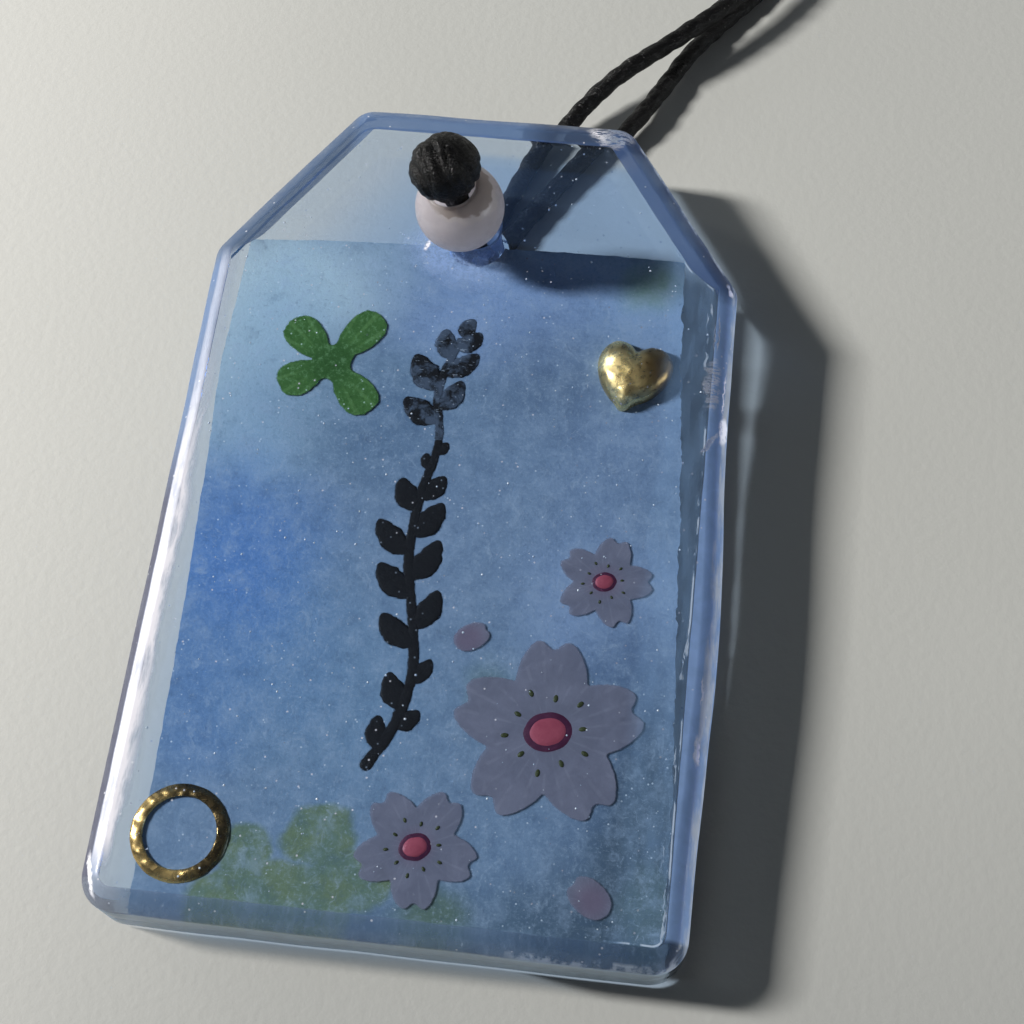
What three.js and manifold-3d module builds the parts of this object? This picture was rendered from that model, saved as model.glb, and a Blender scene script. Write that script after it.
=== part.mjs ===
// Resin charm tag: two cast layers round a paper insert with small charms and cut-outs, hung on a
// waxed cord whose two strands pass up through a hole and a bead to a ball knot.
// Millimetres, +Z up. The tag lies face up with its hole towards +Y. Its lower back edge touches the
// table and its upper end is propped on the two strands that run out behind it.
import * as THREE from 'three';
import { mergeVertices } from 'three/addons/utils/BufferGeometryUtils.js';
import Module from 'manifold-3d';

const wasm = await Module();
wasm.setup();

// Tag body
const tagWidth = 36;
const tagHeight = 58;
const shoulderAcross = 8.4;
const shoulderDown = 12.5;
const cornerRadius = 2.2;
const shoulderRadius = 1.8;
const frontBevel = 1.1;
const backEdgeBreak = 0.3;
const backLayerThickness = 2;
const frontLayerThickness = 3.1;
const layerGap = 0.3;

// Cord, hole and lean of the strands
const cordDiameter = 1.35;
const strandSpacing = 1.55;
const strandTurn = THREE.MathUtils.degToRad(127);
const holeDiameter = 4;
const holeEdgeBreak = 0.4;
const holeFromTop = 9.65;
const holeAside = -0.3;
const bundleOffset = -0.2;
const bundleLean = THREE.MathUtils.degToRad(9);
const loopTopHeight = 1.7;

// Bead and end knot
const beadDiameter = 6;
const beadBore = 3.2;
const beadRimRound = 0.25;
const beadSeatGap = 0.4;
const knotDiameter = 4.85;
const knotCordDiameter = 0.95;
const knotTurns = 3;
const knotSpanTurn = THREE.MathUtils.degToRad(124);
const knotAxisTurn = THREE.MathUtils.degToRad(24);

// Paper insert, by its margins from the edges of the tag
const paperMargins = { left: 2.5, right: 2.3, top: 10.3, bottom: 1.7 };
const paperThickness = 0.2;
const paperTurn = THREE.MathUtils.degToRad(2);
const paperNotchMargin = 0.5;

// Clover, placed from the upper left corner of the paper
const cutoutThickness = 0.15;
const clover = { across: 6.7, down: 9.9, reach: 4.4, waist: 0.75, leafWidth: 1.3 };
const cloverLeafTurns = [55, 137, 213, 313].map(THREE.MathUtils.degToRad);
const cloverReachShares = [1.12, 1, 0.88, 1.05];

// Blossoms and petals: places from the lower right corner of the paper and reaches, all as shares of
// the picture's width, and the height that the picture needs as a share of that width
const pictureTallShare = 1.47;
const blossomShares = {
  blossom_large: { asideShare: 0.231, upShare: 0.391, reachShare: 0.202, turn: 0.35 },
  blossom_medium: { asideShare: 0.458, upShare: 0.138, reachShare: 0.128, turn: 1.05 },
  blossom_small: { asideShare: 0.151, upShare: 0.715, reachShare: 0.106, turn: 0.1 },
};
const blossomPetals = 5;
const blossomWaistShare = 0.02;
const blossomWidthShare = 0.36;
const blossomNotchShare = 0.15;
const blossomNotchTurn = THREE.MathUtils.degToRad(6.5);
const petalShares = {
  petal_upper: { asideShare: 0.41, upShare: 0.567, reachShare: 0.048, turn: 0.6 },
  petal_lower: { asideShare: 0.112, upShare: 0.074, reachShare: 0.058, turn: 2.5 },
};
const petalWaistShare = 0.72;
const petalWidthShare = 0.86;
const petalTaperShare = 0.32;
const petalNotchSpanShare = 0.13;

// Metal charms, placed from the edges of the tag
const heart = { fromRight: 6.55, fromTop: 19.4, width: 5, height: 5, dome: 1.3 };
const heartTurn = THREE.MathUtils.degToRad(-8);
const heartOutlineShares = [
  [-0.012, 0.394], [-0.147, 0.481], [-0.322, 0.49], [-0.463, 0.339], [-0.5, 0.124], [-0.409, -0.139],
  [-0.263, -0.326], [-0.139, -0.434], [-0.059, -0.5], [0.024, -0.482], [0.106, -0.391], [0.257, -0.287],
  [0.419, -0.088], [0.5, 0.153], [0.477, 0.339], [0.352, 0.471], [0.184, 0.5], [0.055, 0.438],
];
const heartDomeSpreadShare = 0.8;
const heartDomeClimbShare = 0.93;
const ring = { fromLeft: 5.2, fromBottom: 5.3, outerDiameter: 6.05, band: 0.8, thickness: 0.35 };

// Gap between neighbouring solids, the looser one that the strands leave under the tag, the overrun
// of every cut, and how near two corners count as one
const gap = 0.3;
const propGap = 0.45;
const overrun = 1;
const weldTolerance = 0.00001;

// Steps of the facets
const cornerSteps = 5;
const bevelSteps = 4;
const holeSteps = 32;
const leafSteps = 12;
const petalSteps = 15;
const heartSteps = 40;
const domeSteps = 5;
const ringSteps = 36;
const beadSteps = 32;
const cordSides = 8;
const windingSides = 6;
const windingSteps = 24;
const ballSteps = [20, 14];

// Route of the free cord, in millimetres from the hole's centre, with heights above the table: down out
// of the hole as strand A, under the tag, over the other strand in a low hump, round the open loop and
// back under the tag as strand B
const loopRoute = [
  [-0.3, 0.43, 3.39], [-0.08, 0.7, 2.2], [0.35, 1.6, 1.18], [0.92, 2.95, 0.76],
  [1.55, 5.05, 0.7], [2.45, 7.65, 0.72], [3.6, 10.55, 0.9], [5.14, 13.65, 1.5],
  [8.1, 17.4, 2.35], [12.3, 21.15, 2.8], [15.3, 24.1, 2.9], [17.65, 26.8, 2.85],
  [19.8, 29.65, 2.6], [22.2, 32.75, 2], [24.9, 35.95, 1.25], [28, 39.45, 0.76],
  [30.5, 43.65, 0.68], [31.5, 48.65, 0.68], [29.9, 53.65, 0.68], [25.9, 57.25, 0.68],
  [20.7, 58.45, 0.68], [15.5, 56.95, 0.68], [11.8, 53.05, 0.68], [10.5, 47.85, 0.68],
  [11.6, 42.55, 0.68], [14.3, 37.85, 0.68], [17.1, 34.25, 0.68], [18.65, 31.1, 0.68],
  [18.3, 28.3, 0.7], [16.55, 25.95, 0.72], [13.7, 21.85, 0.85], [11.8, 18, 1.05],
  [10.2, 14.9, 1.2], [7.65, 11.05, 0.85], [4.3, 5.85, 0.7], [2.9, 3.55, 0.7],
  [1.95, 1.65, 0.78], [1.3, 0.3, 1.22], [0.88, -0.5, 2.25], [0.62, -0.81, 3.48],
];
const loopSteps = 78;

// Places that follow from the sizes above
const tagThickness = backLayerThickness + layerGap + frontLayerThickness;
const side = tagWidth / 2;
const end = tagHeight / 2;
const hole = new THREE.Vector2(holeAside, end - holeFromTop);
const paper = {
  left: paperMargins.left - side,
  right: side - paperMargins.right,
  top: end - paperMargins.top,
  bottom: paperMargins.bottom - end,
};
const cloverPlace = new THREE.Vector2(paper.left + clover.across, paper.top - clover.down);
const heartPlace = new THREE.Vector2(side - heart.fromRight, end - heart.fromTop);
const ringPlace = new THREE.Vector2(ring.fromLeft - side, ring.fromBottom - end);
const pictureWidth = Math.min(paper.right - paper.left, (paper.top - paper.bottom) / pictureTallShare);
const pocketFloor = backLayerThickness + layerGap;
const cutoutFloor = pocketFloor + paperThickness + gap;
const pocketTop = cutoutFloor + cutoutThickness + gap;
const propReach = tagHeight - holeFromTop + holeDiameter / 2;
const tagTilt = Math.asin((cordDiameter + propGap) / propReach);

function finish(color, roughness, metalness, opacity) {
  return new THREE.MeshStandardMaterial({ color, roughness, metalness, opacity, transparent: opacity < 1 });
}

const colours = {
  resin: finish(0x9fb9dc, 0.08, 0, 0.45),
  paper: finish(0x6f8fbb, 0.8, 0, 1),
  leaf: finish(0x3b7030, 0.75, 0, 1),
  lilac: finish(0x8d8cab, 0.75, 0, 1),
  gold: finish(0xc79a3c, 0.25, 1, 1),
  cord: finish(0x0d0d0e, 0.5, 0, 1),
  pearl: finish(0xc9b9b6, 0.3, 0, 1),
};

// Solids and meshes

function toSolid(geometry) {
  const bare = geometry.clone();
  bare.deleteAttribute('normal');
  bare.deleteAttribute('uv');
  const merged = mergeVertices(bare, weldTolerance);
  return new wasm.Manifold(new wasm.Mesh({
    numProp: 3,
    vertProperties: new Float32Array(merged.attributes.position.array),
    triVerts: new Uint32Array(merged.index.array),
  }));
}

function toGeometry(solid) {
  const mesh = solid.getMesh();
  const geometry = new THREE.BufferGeometry();
  geometry.setAttribute('position', new THREE.BufferAttribute(new Float32Array(mesh.vertProperties), 3));
  geometry.setIndex(new THREE.BufferAttribute(new Uint32Array(mesh.triVerts), 1));
  const faceted = geometry.toNonIndexed();
  faceted.computeVertexNormals();
  return faceted;
}

function cut(geometry, ...tools) {
  return toGeometry(tools.reduce((solid, tool) => solid.subtract(toSolid(tool)), toSolid(geometry)));
}

function join(geometry, ...others) {
  return toGeometry(others.reduce((solid, other) => solid.add(toSolid(other)), toSolid(geometry)));
}

function piece(name, geometry, material) {
  const mesh = new THREE.Mesh(geometry, material);
  mesh.name = name;
  return mesh;
}

// A closed solid through rings of equally many points, lowest ring first, each counter-clockwise
function loft(rings) {
  const count = rings[0].length;
  const positions = rings.flat().flatMap((p) => [p.x, p.y, p.z]);
  const index = [];
  for (let r = 0; r + 1 < rings.length; r += 1) {
    for (let i = 0; i < count; i += 1) {
      const a = r * count + i;
      const b = r * count + ((i + 1) % count);
      index.push(a, b, b + count, a, b + count, a + count);
    }
  }
  const caps = THREE.ShapeUtils.triangulateShape(rings[0].map((p) => new THREE.Vector2(p.x, p.y)), []);
  const top = (rings.length - 1) * count;
  for (const [a, b, c] of caps) {
    index.push(a, c, b);
    index.push(top + a, top + b, top + c);
  }
  const geometry = new THREE.BufferGeometry();
  geometry.setAttribute('position', new THREE.Float32BufferAttribute(positions, 3));
  geometry.setIndex(index);
  return geometry;
}

function atHeight(outline, z) {
  return outline.map((p) => new THREE.Vector3(p.x, p.y, z));
}

function plate(outline, z, thickness) {
  const shape = new THREE.Shape(outline);
  const solid = new THREE.ExtrudeGeometry(shape, { depth: thickness, bevelEnabled: false });
  return solid.translate(0, 0, z);
}

function placed(outline, place, turn) {
  const centre = new THREE.Vector2();
  return outline.map((p) => p.clone().rotateAround(centre, turn).add(place));
}

function tube(points, diameter, sides, steps) {
  const section = new THREE.Shape();
  for (let i = 0; i < sides; i += 1) {
    const angle = (2 * Math.PI * i) / sides;
    const at = [Math.cos(angle) * diameter / 2, Math.sin(angle) * diameter / 2];
    if (i === 0) section.moveTo(...at);
    else section.lineTo(...at);
  }
  const path = new THREE.CatmullRomCurve3(points, false, 'centripetal');
  return new THREE.ExtrudeGeometry(section, { steps, extrudePath: path, bevelEnabled: false });
}

// Outline of the tag, drawn in by an inset; every rounded corner keeps its own centre
function tagOutline(inset) {
  const corners = [
    [-side, -end, cornerRadius],
    [side, -end, cornerRadius],
    [side, end - shoulderDown, shoulderRadius],
    [side - shoulderAcross, end, shoulderRadius],
    [-side + shoulderAcross, end, shoulderRadius],
    [-side, end - shoulderDown, shoulderRadius],
  ].map(([x, y, radius]) => ({ at: new THREE.Vector2(x, y), radius }));
  return corners.flatMap(({ at, radius }, i) => {
    const before = corners[(i + corners.length - 1) % corners.length].at;
    const after = corners[(i + 1) % corners.length].at;
    const inward = at.clone().sub(before).normalize();
    const outward = after.clone().sub(at).normalize();
    const turn = Math.atan2(inward.cross(outward), inward.dot(outward));
    const normal = new THREE.Vector2(inward.y, -inward.x);
    const start = at.clone().addScaledVector(inward, -radius * Math.tan(turn / 2));
    const centre = start.addScaledVector(normal, -radius);
    const first = normal.angle();
    return Array.from({ length: cornerSteps + 1 }, (_, k) => {
      const angle = first + (turn * k) / cornerSteps;
      return new THREE.Vector2(Math.cos(angle), Math.sin(angle)).multiplyScalar(radius - inset).add(centre);
    });
  });
}

function cylinderAt(x, y, low, high, lowDiameter, highDiameter = lowDiameter) {
  const shape = new THREE.CylinderGeometry(highDiameter / 2, lowDiameter / 2, high - low, holeSteps);
  return shape.rotateX(Math.PI / 2).translate(x, y, (low + high) / 2);
}

function holeCut() {
  return cylinderAt(hole.x, hole.y, -overrun, tagThickness + overrun, holeDiameter);
}

function holeChamferCut() {
  const mouth = holeDiameter + 2 * (holeEdgeBreak + overrun);
  return cylinderAt(hole.x, hole.y, -overrun, holeEdgeBreak, mouth, holeDiameter);
}

// The paper is a slightly turned rectangle, punched round the hole where its top edge meets it
function paperOutline(grow) {
  const x = (paper.right - paper.left) / 2 + grow;
  const y = (paper.top - paper.bottom) / 2 + grow;
  const corners = [[-x, -y], [x, -y], [x, y], [-x, y]].map(([u, v]) => new THREE.Vector2(u, v));
  const middle = new THREE.Vector2(paper.left + paper.right, paper.bottom + paper.top).divideScalar(2);
  return placed(corners, middle, paperTurn);
}

function paperSheet() {
  const notch = holeDiameter + 2 * paperNotchMargin;
  const high = pocketFloor + paperThickness + overrun;
  const punch = cylinderAt(hole.x, hole.y, pocketFloor - overrun, high, notch);
  return cut(plate(paperOutline(0), pocketFloor, paperThickness), punch);
}

// How far an elliptical leaf, which starts round the centre, reaches at an angle from its own axis
function leafReach(angle, reach, waist, halfWidth) {
  const long = (reach + waist) / 2;
  const middle = reach - long;
  const a = (Math.cos(angle) / long) ** 2 + (Math.sin(angle) / halfWidth) ** 2;
  const b = (middle * Math.cos(angle)) / long ** 2;
  const c = (middle / long) ** 2 - 1;
  return (b + Math.sqrt(b * b - a * c)) / a;
}

function cloverOutline() {
  const turns = cloverLeafTurns;
  return turns.flatMap((axis, i) => {
    const before = (axis - turns[(i + turns.length - 1) % turns.length] + 2 * Math.PI) % (2 * Math.PI);
    const after = (turns[(i + 1) % turns.length] - axis + 2 * Math.PI) % (2 * Math.PI);
    return Array.from({ length: leafSteps }, (_, k) => {
      const share = k / leafSteps;
      const angle = share < 0.5 ? (share - 0.5) * before : (share - 0.5) * after;
      const reach = clover.reach * cloverReachShares[i];
      const r = leafReach(angle, reach, clover.waist, clover.leafWidth);
      return new THREE.Vector2(Math.cos(axis + angle), Math.sin(axis + angle)).multiplyScalar(r);
    });
  });
}

// A five-petalled blossom: broad elliptical petals with a small notch at each tip

function notchedReach(angle, reach) {
  const r = leafReach(angle, reach, reach * blossomWaistShare, reach * blossomWidthShare);
  return r - reach * blossomNotchShare * Math.exp(-((angle / blossomNotchTurn) ** 2));
}

function blossomOutline(reach) {
  const half = Math.PI / blossomPetals;
  return Array.from({ length: blossomPetals * petalSteps }, (_, i) => {
    const axis = 2 * half * Math.floor(i / petalSteps);
    const angle = (((i % petalSteps) + 0.5) / petalSteps - 0.5) * 2 * half;
    const r = notchedReach(angle, reach);
    return new THREE.Vector2(Math.cos(axis + angle), Math.sin(axis + angle)).multiplyScalar(r);
  });
}

// A single fallen petal: a drop with a notch at its broad end
function petalOutline(reach) {
  const steps = 2 * petalSteps;
  return Array.from({ length: steps }, (_, i) => {
    const angle = (2 * Math.PI * i) / steps;
    const taper = 1 - petalTaperShare * Math.sin(angle / 2) ** 6;
    const notch = blossomNotchShare * Math.exp(-((Math.sin(angle / 2) / petalNotchSpanShare) ** 2));
    const waist = petalWaistShare + (1 - petalWaistShare) * Math.cos(angle) ** 2;
    const r = reach * waist * (taper - notch);
    return new THREE.Vector2(Math.cos(angle) * r, Math.sin(angle) * r * petalWidthShare);
  });
}

// Heart: two full lobes with a notch between them above, and a blunt tip below
function heartOutline(width, height) {
  const points = heartOutlineShares.map(([x, y]) => new THREE.Vector3(x * width, y * height, 0));
  const curve = new THREE.CatmullRomCurve3(points, true, 'centripetal');
  return Array.from({ length: heartSteps }, (_, i) => curve.getPoint(i / heartSteps));
}

function heartDome(grow) {
  const base = heartOutline(heart.width + 2 * grow, heart.height + 2 * grow);
  const rings = Array.from({ length: domeSteps + 1 }, (_, k) => {
    const climb = (Math.PI / 2) * (k / domeSteps) * heartDomeClimbShare;
    const spread = Math.cos(climb) ** heartDomeSpreadShare;
    const z = (heart.dome + grow) * Math.sin(climb);
    return atHeight(base.map((p) => p.clone().multiplyScalar(spread)), z);
  });
  return loft(rings).rotateZ(heartTurn).translate(heartPlace.x, heartPlace.y, cutoutFloor);
}

// Flat ring with a softly rounded band, turned about its own centre
function ringBand() {
  const outer = ring.outerDiameter / 2;
  const inner = outer - ring.band;
  const top = ring.thickness;
  const shoulder = (outer - inner) / 4;
  const profile = [
    [inner, 0], [outer, 0], [outer, top / 2], [outer - shoulder, top], [inner + shoulder, top],
    [inner, top / 2], [inner, 0],
  ].map(([r, z]) => new THREE.Vector2(r, z));
  const band = new THREE.LatheGeometry(profile, ringSteps).rotateX(Math.PI / 2);
  return band.translate(ringPlace.x, ringPlace.y, cutoutFloor);
}

// Cast layers

function resinBack() {
  const rings = [
    atHeight(tagOutline(backEdgeBreak), 0),
    atHeight(tagOutline(0), backEdgeBreak),
    atHeight(tagOutline(0), backLayerThickness),
  ];
  return cut(loft(rings), holeCut(), holeChamferCut());
}

function resinFront() {
  const rings = [atHeight(tagOutline(0), pocketFloor)];
  for (let k = 0; k <= bevelSteps; k += 1) {
    const angle = (Math.PI / 2) * (k / bevelSteps);
    const inset = frontBevel * (1 - Math.cos(angle));
    rings.push(atHeight(tagOutline(inset), tagThickness - frontBevel * (1 - Math.sin(angle))));
  }
  const pocket = plate(paperOutline(gap), pocketFloor - overrun, pocketTop - pocketFloor + overrun);
  const ringPocket = cylinderAt(ringPlace.x, ringPlace.y, pocketFloor - overrun,
    cutoutFloor + ring.thickness + gap, ring.outerDiameter + 2 * gap);
  return cut(loft(rings), holeCut(), pocket, ringPocket, heartDome(gap));
}

// Bead: a sphere with a bore and softly rounded rims, turned round the strands
function beadShell() {
  const outer = beadDiameter / 2;
  const bore = beadBore / 2;
  const rim = Math.asin((bore + beadRimRound) / outer);
  const profile = [];
  for (let k = 0; k <= beadSteps / 2; k += 1) {
    const angle = rim + (Math.PI - 2 * rim) * (k / (beadSteps / 2));
    profile.push(new THREE.Vector2(outer * Math.sin(angle), -outer * Math.cos(angle)));
  }
  const rimHeight = outer * Math.cos(rim) - beadRimRound;
  profile.push(new THREE.Vector2(bore, rimHeight));
  profile.push(new THREE.Vector2(bore, -rimHeight));
  profile.push(profile[0].clone());
  return new THREE.LatheGeometry(profile, beadSteps).rotateX(Math.PI / 2);
}

// Knot: one unbroken winding of the cord round its own pulled-tight heart, on two short strand stubs
function knotWinding() {
  const reach = (knotDiameter - knotCordDiameter) / 2;
  const steps = knotTurns * windingSteps;
  const points = Array.from({ length: steps + 1 }, (_, i) => {
    const along = i / steps - 0.5;
    const latitude = along * knotSpanTurn;
    const turn = 2 * Math.PI * knotTurns * along;
    const out = reach * Math.cos(latitude);
    return new THREE.Vector3(reach * Math.sin(latitude), out * Math.cos(turn), out * Math.sin(turn));
  });
  return { points, steps };
}

function leastTurnGap(points, diameter) {
  let least = Infinity;
  for (let i = 0; i < points.length; i += 1) {
    for (let j = i + windingSteps / 2; j < points.length; j += 1) {
      least = Math.min(least, points[i].distanceTo(points[j]) - diameter);
    }
  }
  return least;
}

function strandOffsets() {
  return [1, -1].map((side) => new THREE.Vector2(Math.cos(strandTurn), Math.sin(strandTurn))
    .multiplyScalar((side * strandSpacing) / 2));
}

function strand(offset, low, high) {
  const shape = new THREE.CylinderGeometry(cordDiameter / 2, cordDiameter / 2, high - low, cordSides);
  return shape.rotateX(Math.PI / 2).translate(offset.x, offset.y, (low + high) / 2);
}

function knotBall() {
  const { points, steps } = knotWinding();
  const turnGap = leastTurnGap(points, knotCordDiameter);
  console.log(`least gap between the turns of the knot: ${turnGap.toFixed(2)} mm`);
  const winding = tube(points, knotCordDiameter, windingSides, steps).rotateZ(knotAxisTurn);
  const core = new THREE.SphereGeometry((knotDiameter - knotCordDiameter) / 2, ...ballSteps);
  const stubs = strandOffsets().map((offset) => strand(offset, -knotDiameter / 2, 0));
  return join(core.rotateX(Math.PI / 2), winding, ...stubs);
}

// The hung pieces share one leaning axis, with its zero at mid-thickness of the tag in the hole

const frontFaceHeight = tagThickness / 2;
const beadSeat = Math.sqrt((beadDiameter / 2) ** 2 - (holeDiameter / 2) ** 2);
const beadHeight = frontFaceHeight + beadSeat + beadSeatGap;
const beadRimHeight = Math.sqrt((beadDiameter / 2) ** 2 - (beadBore / 2) ** 2);
const knotSeat = Math.sqrt((knotDiameter / 2) ** 2 - (beadBore / 2) ** 2);
const knotHeight = beadHeight + beadRimHeight + knotSeat + gap;
const strandLow = loopTopHeight - tagThickness / 2 + gap;
const strandHigh = knotHeight - knotDiameter / 2 - gap;

const hung = new THREE.Group();
hung.position.set(hole.x, hole.y + bundleOffset, tagThickness / 2);
hung.rotation.y = -bundleLean;
const [offsetA, offsetB] = strandOffsets();
hung.add(piece('cord_strand_a', strand(offsetA, strandLow, strandHigh), colours.cord));
hung.add(piece('cord_strand_b', strand(offsetB, strandLow, strandHigh), colours.cord));
const bead = piece('bead', beadShell(), colours.pearl);
bead.position.z = beadHeight;
hung.add(bead);
const knot = piece('end_knot', knotBall(), colours.cord);
knot.position.z = knotHeight;
hung.add(knot);

const tag = new THREE.Group();
tag.rotation.x = tagTilt;
const overhang = (tagThickness - frontBevel) * Math.sin(tagTilt);
tag.position.set(0, overhang / 2, end * Math.sin(tagTilt));
tag.add(piece('resin_back_layer', resinBack(), colours.resin));
tag.add(piece('resin_front_layer', resinFront(), colours.resin));
tag.add(piece('paper_insert', paperSheet(), colours.paper));
const cloverShape = placed(cloverOutline(), cloverPlace, 0);
tag.add(piece('clover_cutout', plate(cloverShape, cutoutFloor, cutoutThickness), colours.leaf));
for (const [shares, outline] of [[blossomShares, blossomOutline], [petalShares, petalOutline]]) {
  for (const [name, { asideShare, upShare, reachShare, turn }] of Object.entries(shares)) {
    const place = new THREE.Vector2(-asideShare, upShare).multiplyScalar(pictureWidth);
    place.add(new THREE.Vector2(paper.right, paper.bottom));
    const shape = placed(outline(reachShare * pictureWidth), place, turn);
    tag.add(piece(name, plate(shape, cutoutFloor, cutoutThickness), colours.lilac));
  }
}
tag.add(piece('heart_charm', heartDome(0), colours.gold));
tag.add(piece('ring_charm', ringBand(), colours.gold));
tag.add(hung);

const loopPoints = loopRoute.map(([x, y, z]) => new THREE.Vector3(x + hole.x, y + hole.y, z));
const group = new THREE.Group();
group.add(tag);
group.add(piece('cord_loop', tube(loopPoints, cordDiameter, cordSides, loopSteps), colours.cord));

export default group;
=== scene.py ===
# Looks of the resin charm tag: the cast resin with its paper, cut-outs and charms inside, the bead, the
# knot and the waxed cord, on a plain pale table. Lengths in the lists are millimetres of the tag's own
# frame, which lies tilted on the cord behind it; MM turns them into metres.
import math
import random

import bmesh
import bpy
import numpy as np
from mathutils import Matrix, Vector, noise
from mathutils.geometry import tessellate_polygon


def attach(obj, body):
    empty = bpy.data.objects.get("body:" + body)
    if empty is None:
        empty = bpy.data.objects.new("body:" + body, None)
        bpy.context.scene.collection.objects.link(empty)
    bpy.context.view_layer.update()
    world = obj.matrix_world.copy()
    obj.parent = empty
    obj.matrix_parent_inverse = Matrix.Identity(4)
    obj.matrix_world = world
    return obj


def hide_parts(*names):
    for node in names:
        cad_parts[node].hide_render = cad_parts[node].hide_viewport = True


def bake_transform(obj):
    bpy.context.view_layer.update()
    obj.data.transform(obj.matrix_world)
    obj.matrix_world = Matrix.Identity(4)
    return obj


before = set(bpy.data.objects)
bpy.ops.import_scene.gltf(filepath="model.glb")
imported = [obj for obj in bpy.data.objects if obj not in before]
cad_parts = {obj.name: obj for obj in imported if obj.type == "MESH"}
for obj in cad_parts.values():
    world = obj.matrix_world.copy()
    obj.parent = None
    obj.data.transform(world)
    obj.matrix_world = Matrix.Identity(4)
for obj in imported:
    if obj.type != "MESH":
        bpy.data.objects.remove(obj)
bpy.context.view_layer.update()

MM = 0.001
SEED = 7

# Sizes of the part
HALF_WIDE, HALF_TALL, TAG_THICK = 18, 29, 5.4
SHOULDER_ACROSS, SHOULDER_DOWN = 8.4, 12.5
CORNER_ROUND, SHOULDER_ROUND, FRONT_BEVEL = 2.2, 1.8, 1.1
HOLE, HOLE_RADIUS, HOLE_FROM_TOP = (-0.3, 19.35), 2, 9.65
BACK_ROUND, SLANT_WIDE, SLANT_DEEP, SLANT_SOFT, SEAM_AT = 0.3, 1.35, 1.2, 0.1, 2.15
CORD_WIDTH, STRAND_OFF, STRAND_TURN, PROP_GAP = 1.35, 0.775, math.radians(127), 0.45
CORD_PITCH, CORD_STEP = 5.2, 0.14
BEAD_RADIUS, BEAD_BORE, BEAD_RIM, BEAD_SEAT = 3.0, 1.6, 0.25, 0.4
KNOT_RADIUS, KNOT_SEAT, KNOT_SUNK, KNOT_TURN = 2.425, 0.3, 0.2, math.radians(24)
PAPER_LOW, PAPER_HIGH, CUT_LOW, CUT_HIGH = 2.3, 2.5, 2.54, 2.62
HEART_ACROSS, HEART_FOOT, HEART_LOW, HEART_DOME, RING_LOW = 5, 2.53, 2.8, 1.3, 2.52
DRILL_RADIUS, MOUTH_RADIUS, MOUTH_DEPTH, NOTCH_RADIUS = 1.82, 3.4, 0.4, 2.14
# The right side stands out a little below its middle, as cast by hand
SWELL, SWELL_FROM, SWELL_TOP = 0.45, (5, -6), (-27, -9)
BUBBLES, BUBBLE_LOW, BUBBLE_HIGH = 420, 4.3, 5.1
# How the resin takes up light, and the pale surroundings that it and the camera see
RESIN_TINT, RESIN_DENSITY = (0.0, 0.474, 1.0, 1), 56.0
BACKDROP = (0.5, 0.5, 0.475, 1)

# The tag's own frame and the leaning frame of the hung bead and knot
TILT = math.asin((CORD_WIDTH + PROP_GAP) / (2 * HALF_TALL - HOLE_FROM_TOP + HOLE_RADIUS))
LEAN = math.radians(-9)


def within(space, x, y, z=0.0, turn=0.0, about="Z"):
    """The space round a point of another one, turned about one of its axes."""
    return space @ Matrix.Translation((x * MM, y * MM, z * MM)) @ Matrix.Rotation(turn, 4, about)


FOOT = (0, (TAG_THICK - FRONT_BEVEL) * math.sin(TILT) / 2, HALF_TALL * math.sin(TILT))
TAG_SPACE = within(Matrix(), *FOOT, TILT, "X")
HUNG_SPACE = within(TAG_SPACE, HOLE[0], HOLE[1] - 0.2, TAG_THICK / 2, LEAN, "Y")
BEAD_HEIGHT = TAG_THICK / 2 + math.sqrt(BEAD_RADIUS**2 - HOLE_RADIUS**2) + BEAD_SEAT
BEAD_HALF, KNOT_HALF = (math.sqrt(r**2 - BEAD_BORE**2) for r in (BEAD_RADIUS, KNOT_RADIUS))
KNOT_HEIGHT = BEAD_HEIGHT + BEAD_HALF + KNOT_HALF + KNOT_SEAT
STRAND = (math.cos(STRAND_TURN) * STRAND_OFF, math.sin(STRAND_TURN) * STRAND_OFF)


# Camera of the photograph
camera = bpy.data.objects.new("camera", bpy.data.cameras.new("camera"))
bpy.context.scene.collection.objects.link(camera)
right = Vector((0.99246433, 0.11878397, -0.03008188))
down = Vector((0.09433428, -0.89735824, -0.43110235))
ahead = Vector((-0.07820227, 0.42501595, -0.90180145))
stands = Matrix.Translation(Vector((13.1856, -47.4865, 103.5836)) * MM)
camera.matrix_world = stands @ Matrix((right, -down, -ahead)).transposed().to_4x4()
camera.data.sensor_width = 36
camera.data.lens = 1700.3 / 1024 * 36
camera.data.clip_start = 0.005
bpy.context.scene.camera = camera


# Shader helpers. They add nodes to the tree in hand; sums and products of values make Math nodes.
class Value:
    """The output of a node."""

    def __init__(self, socket):
        self.socket = socket

    def __add__(self, other):
        return calc("ADD", self, other)

    __radd__ = __add__

    def __sub__(self, other):
        return calc("SUBTRACT", self, other)

    def __rsub__(self, other):
        return calc("SUBTRACT", other, self)

    def __mul__(self, other):
        return calc("MULTIPLY", self, other)

    def __abs__(self):
        return calc("ABSOLUTE", self)


def linear(colour):
    """A colour of 0 to 255 as it is seen, as the shader's own numbers."""
    return tuple((c / 255 / 12.92 if c < 10.3 else ((c / 255 + 0.055) / 1.055) ** 2.4) for c in colour) + (1,)


def node(kind, inputs=(), output=0, **settings):
    """One output of a new node. A colour of three numbers is given as it is seen."""
    made = tree.nodes.new("ShaderNode" + kind)
    for key, value in settings.items():
        setattr(made, key, value)
    for key, value in dict(inputs).items():
        socket = made.inputs[key]
        if isinstance(value, Value):
            tree.links.new(value.socket, socket)
        elif socket.type == "RGBA" and len(value) == 3:
            socket.default_value = linear(value)
        else:
            socket.default_value = value
    return Value(made.outputs[output]) if made.outputs else None


def calc(operation, *values):
    return node("Math", dict(enumerate(values)), operation=operation)


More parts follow.
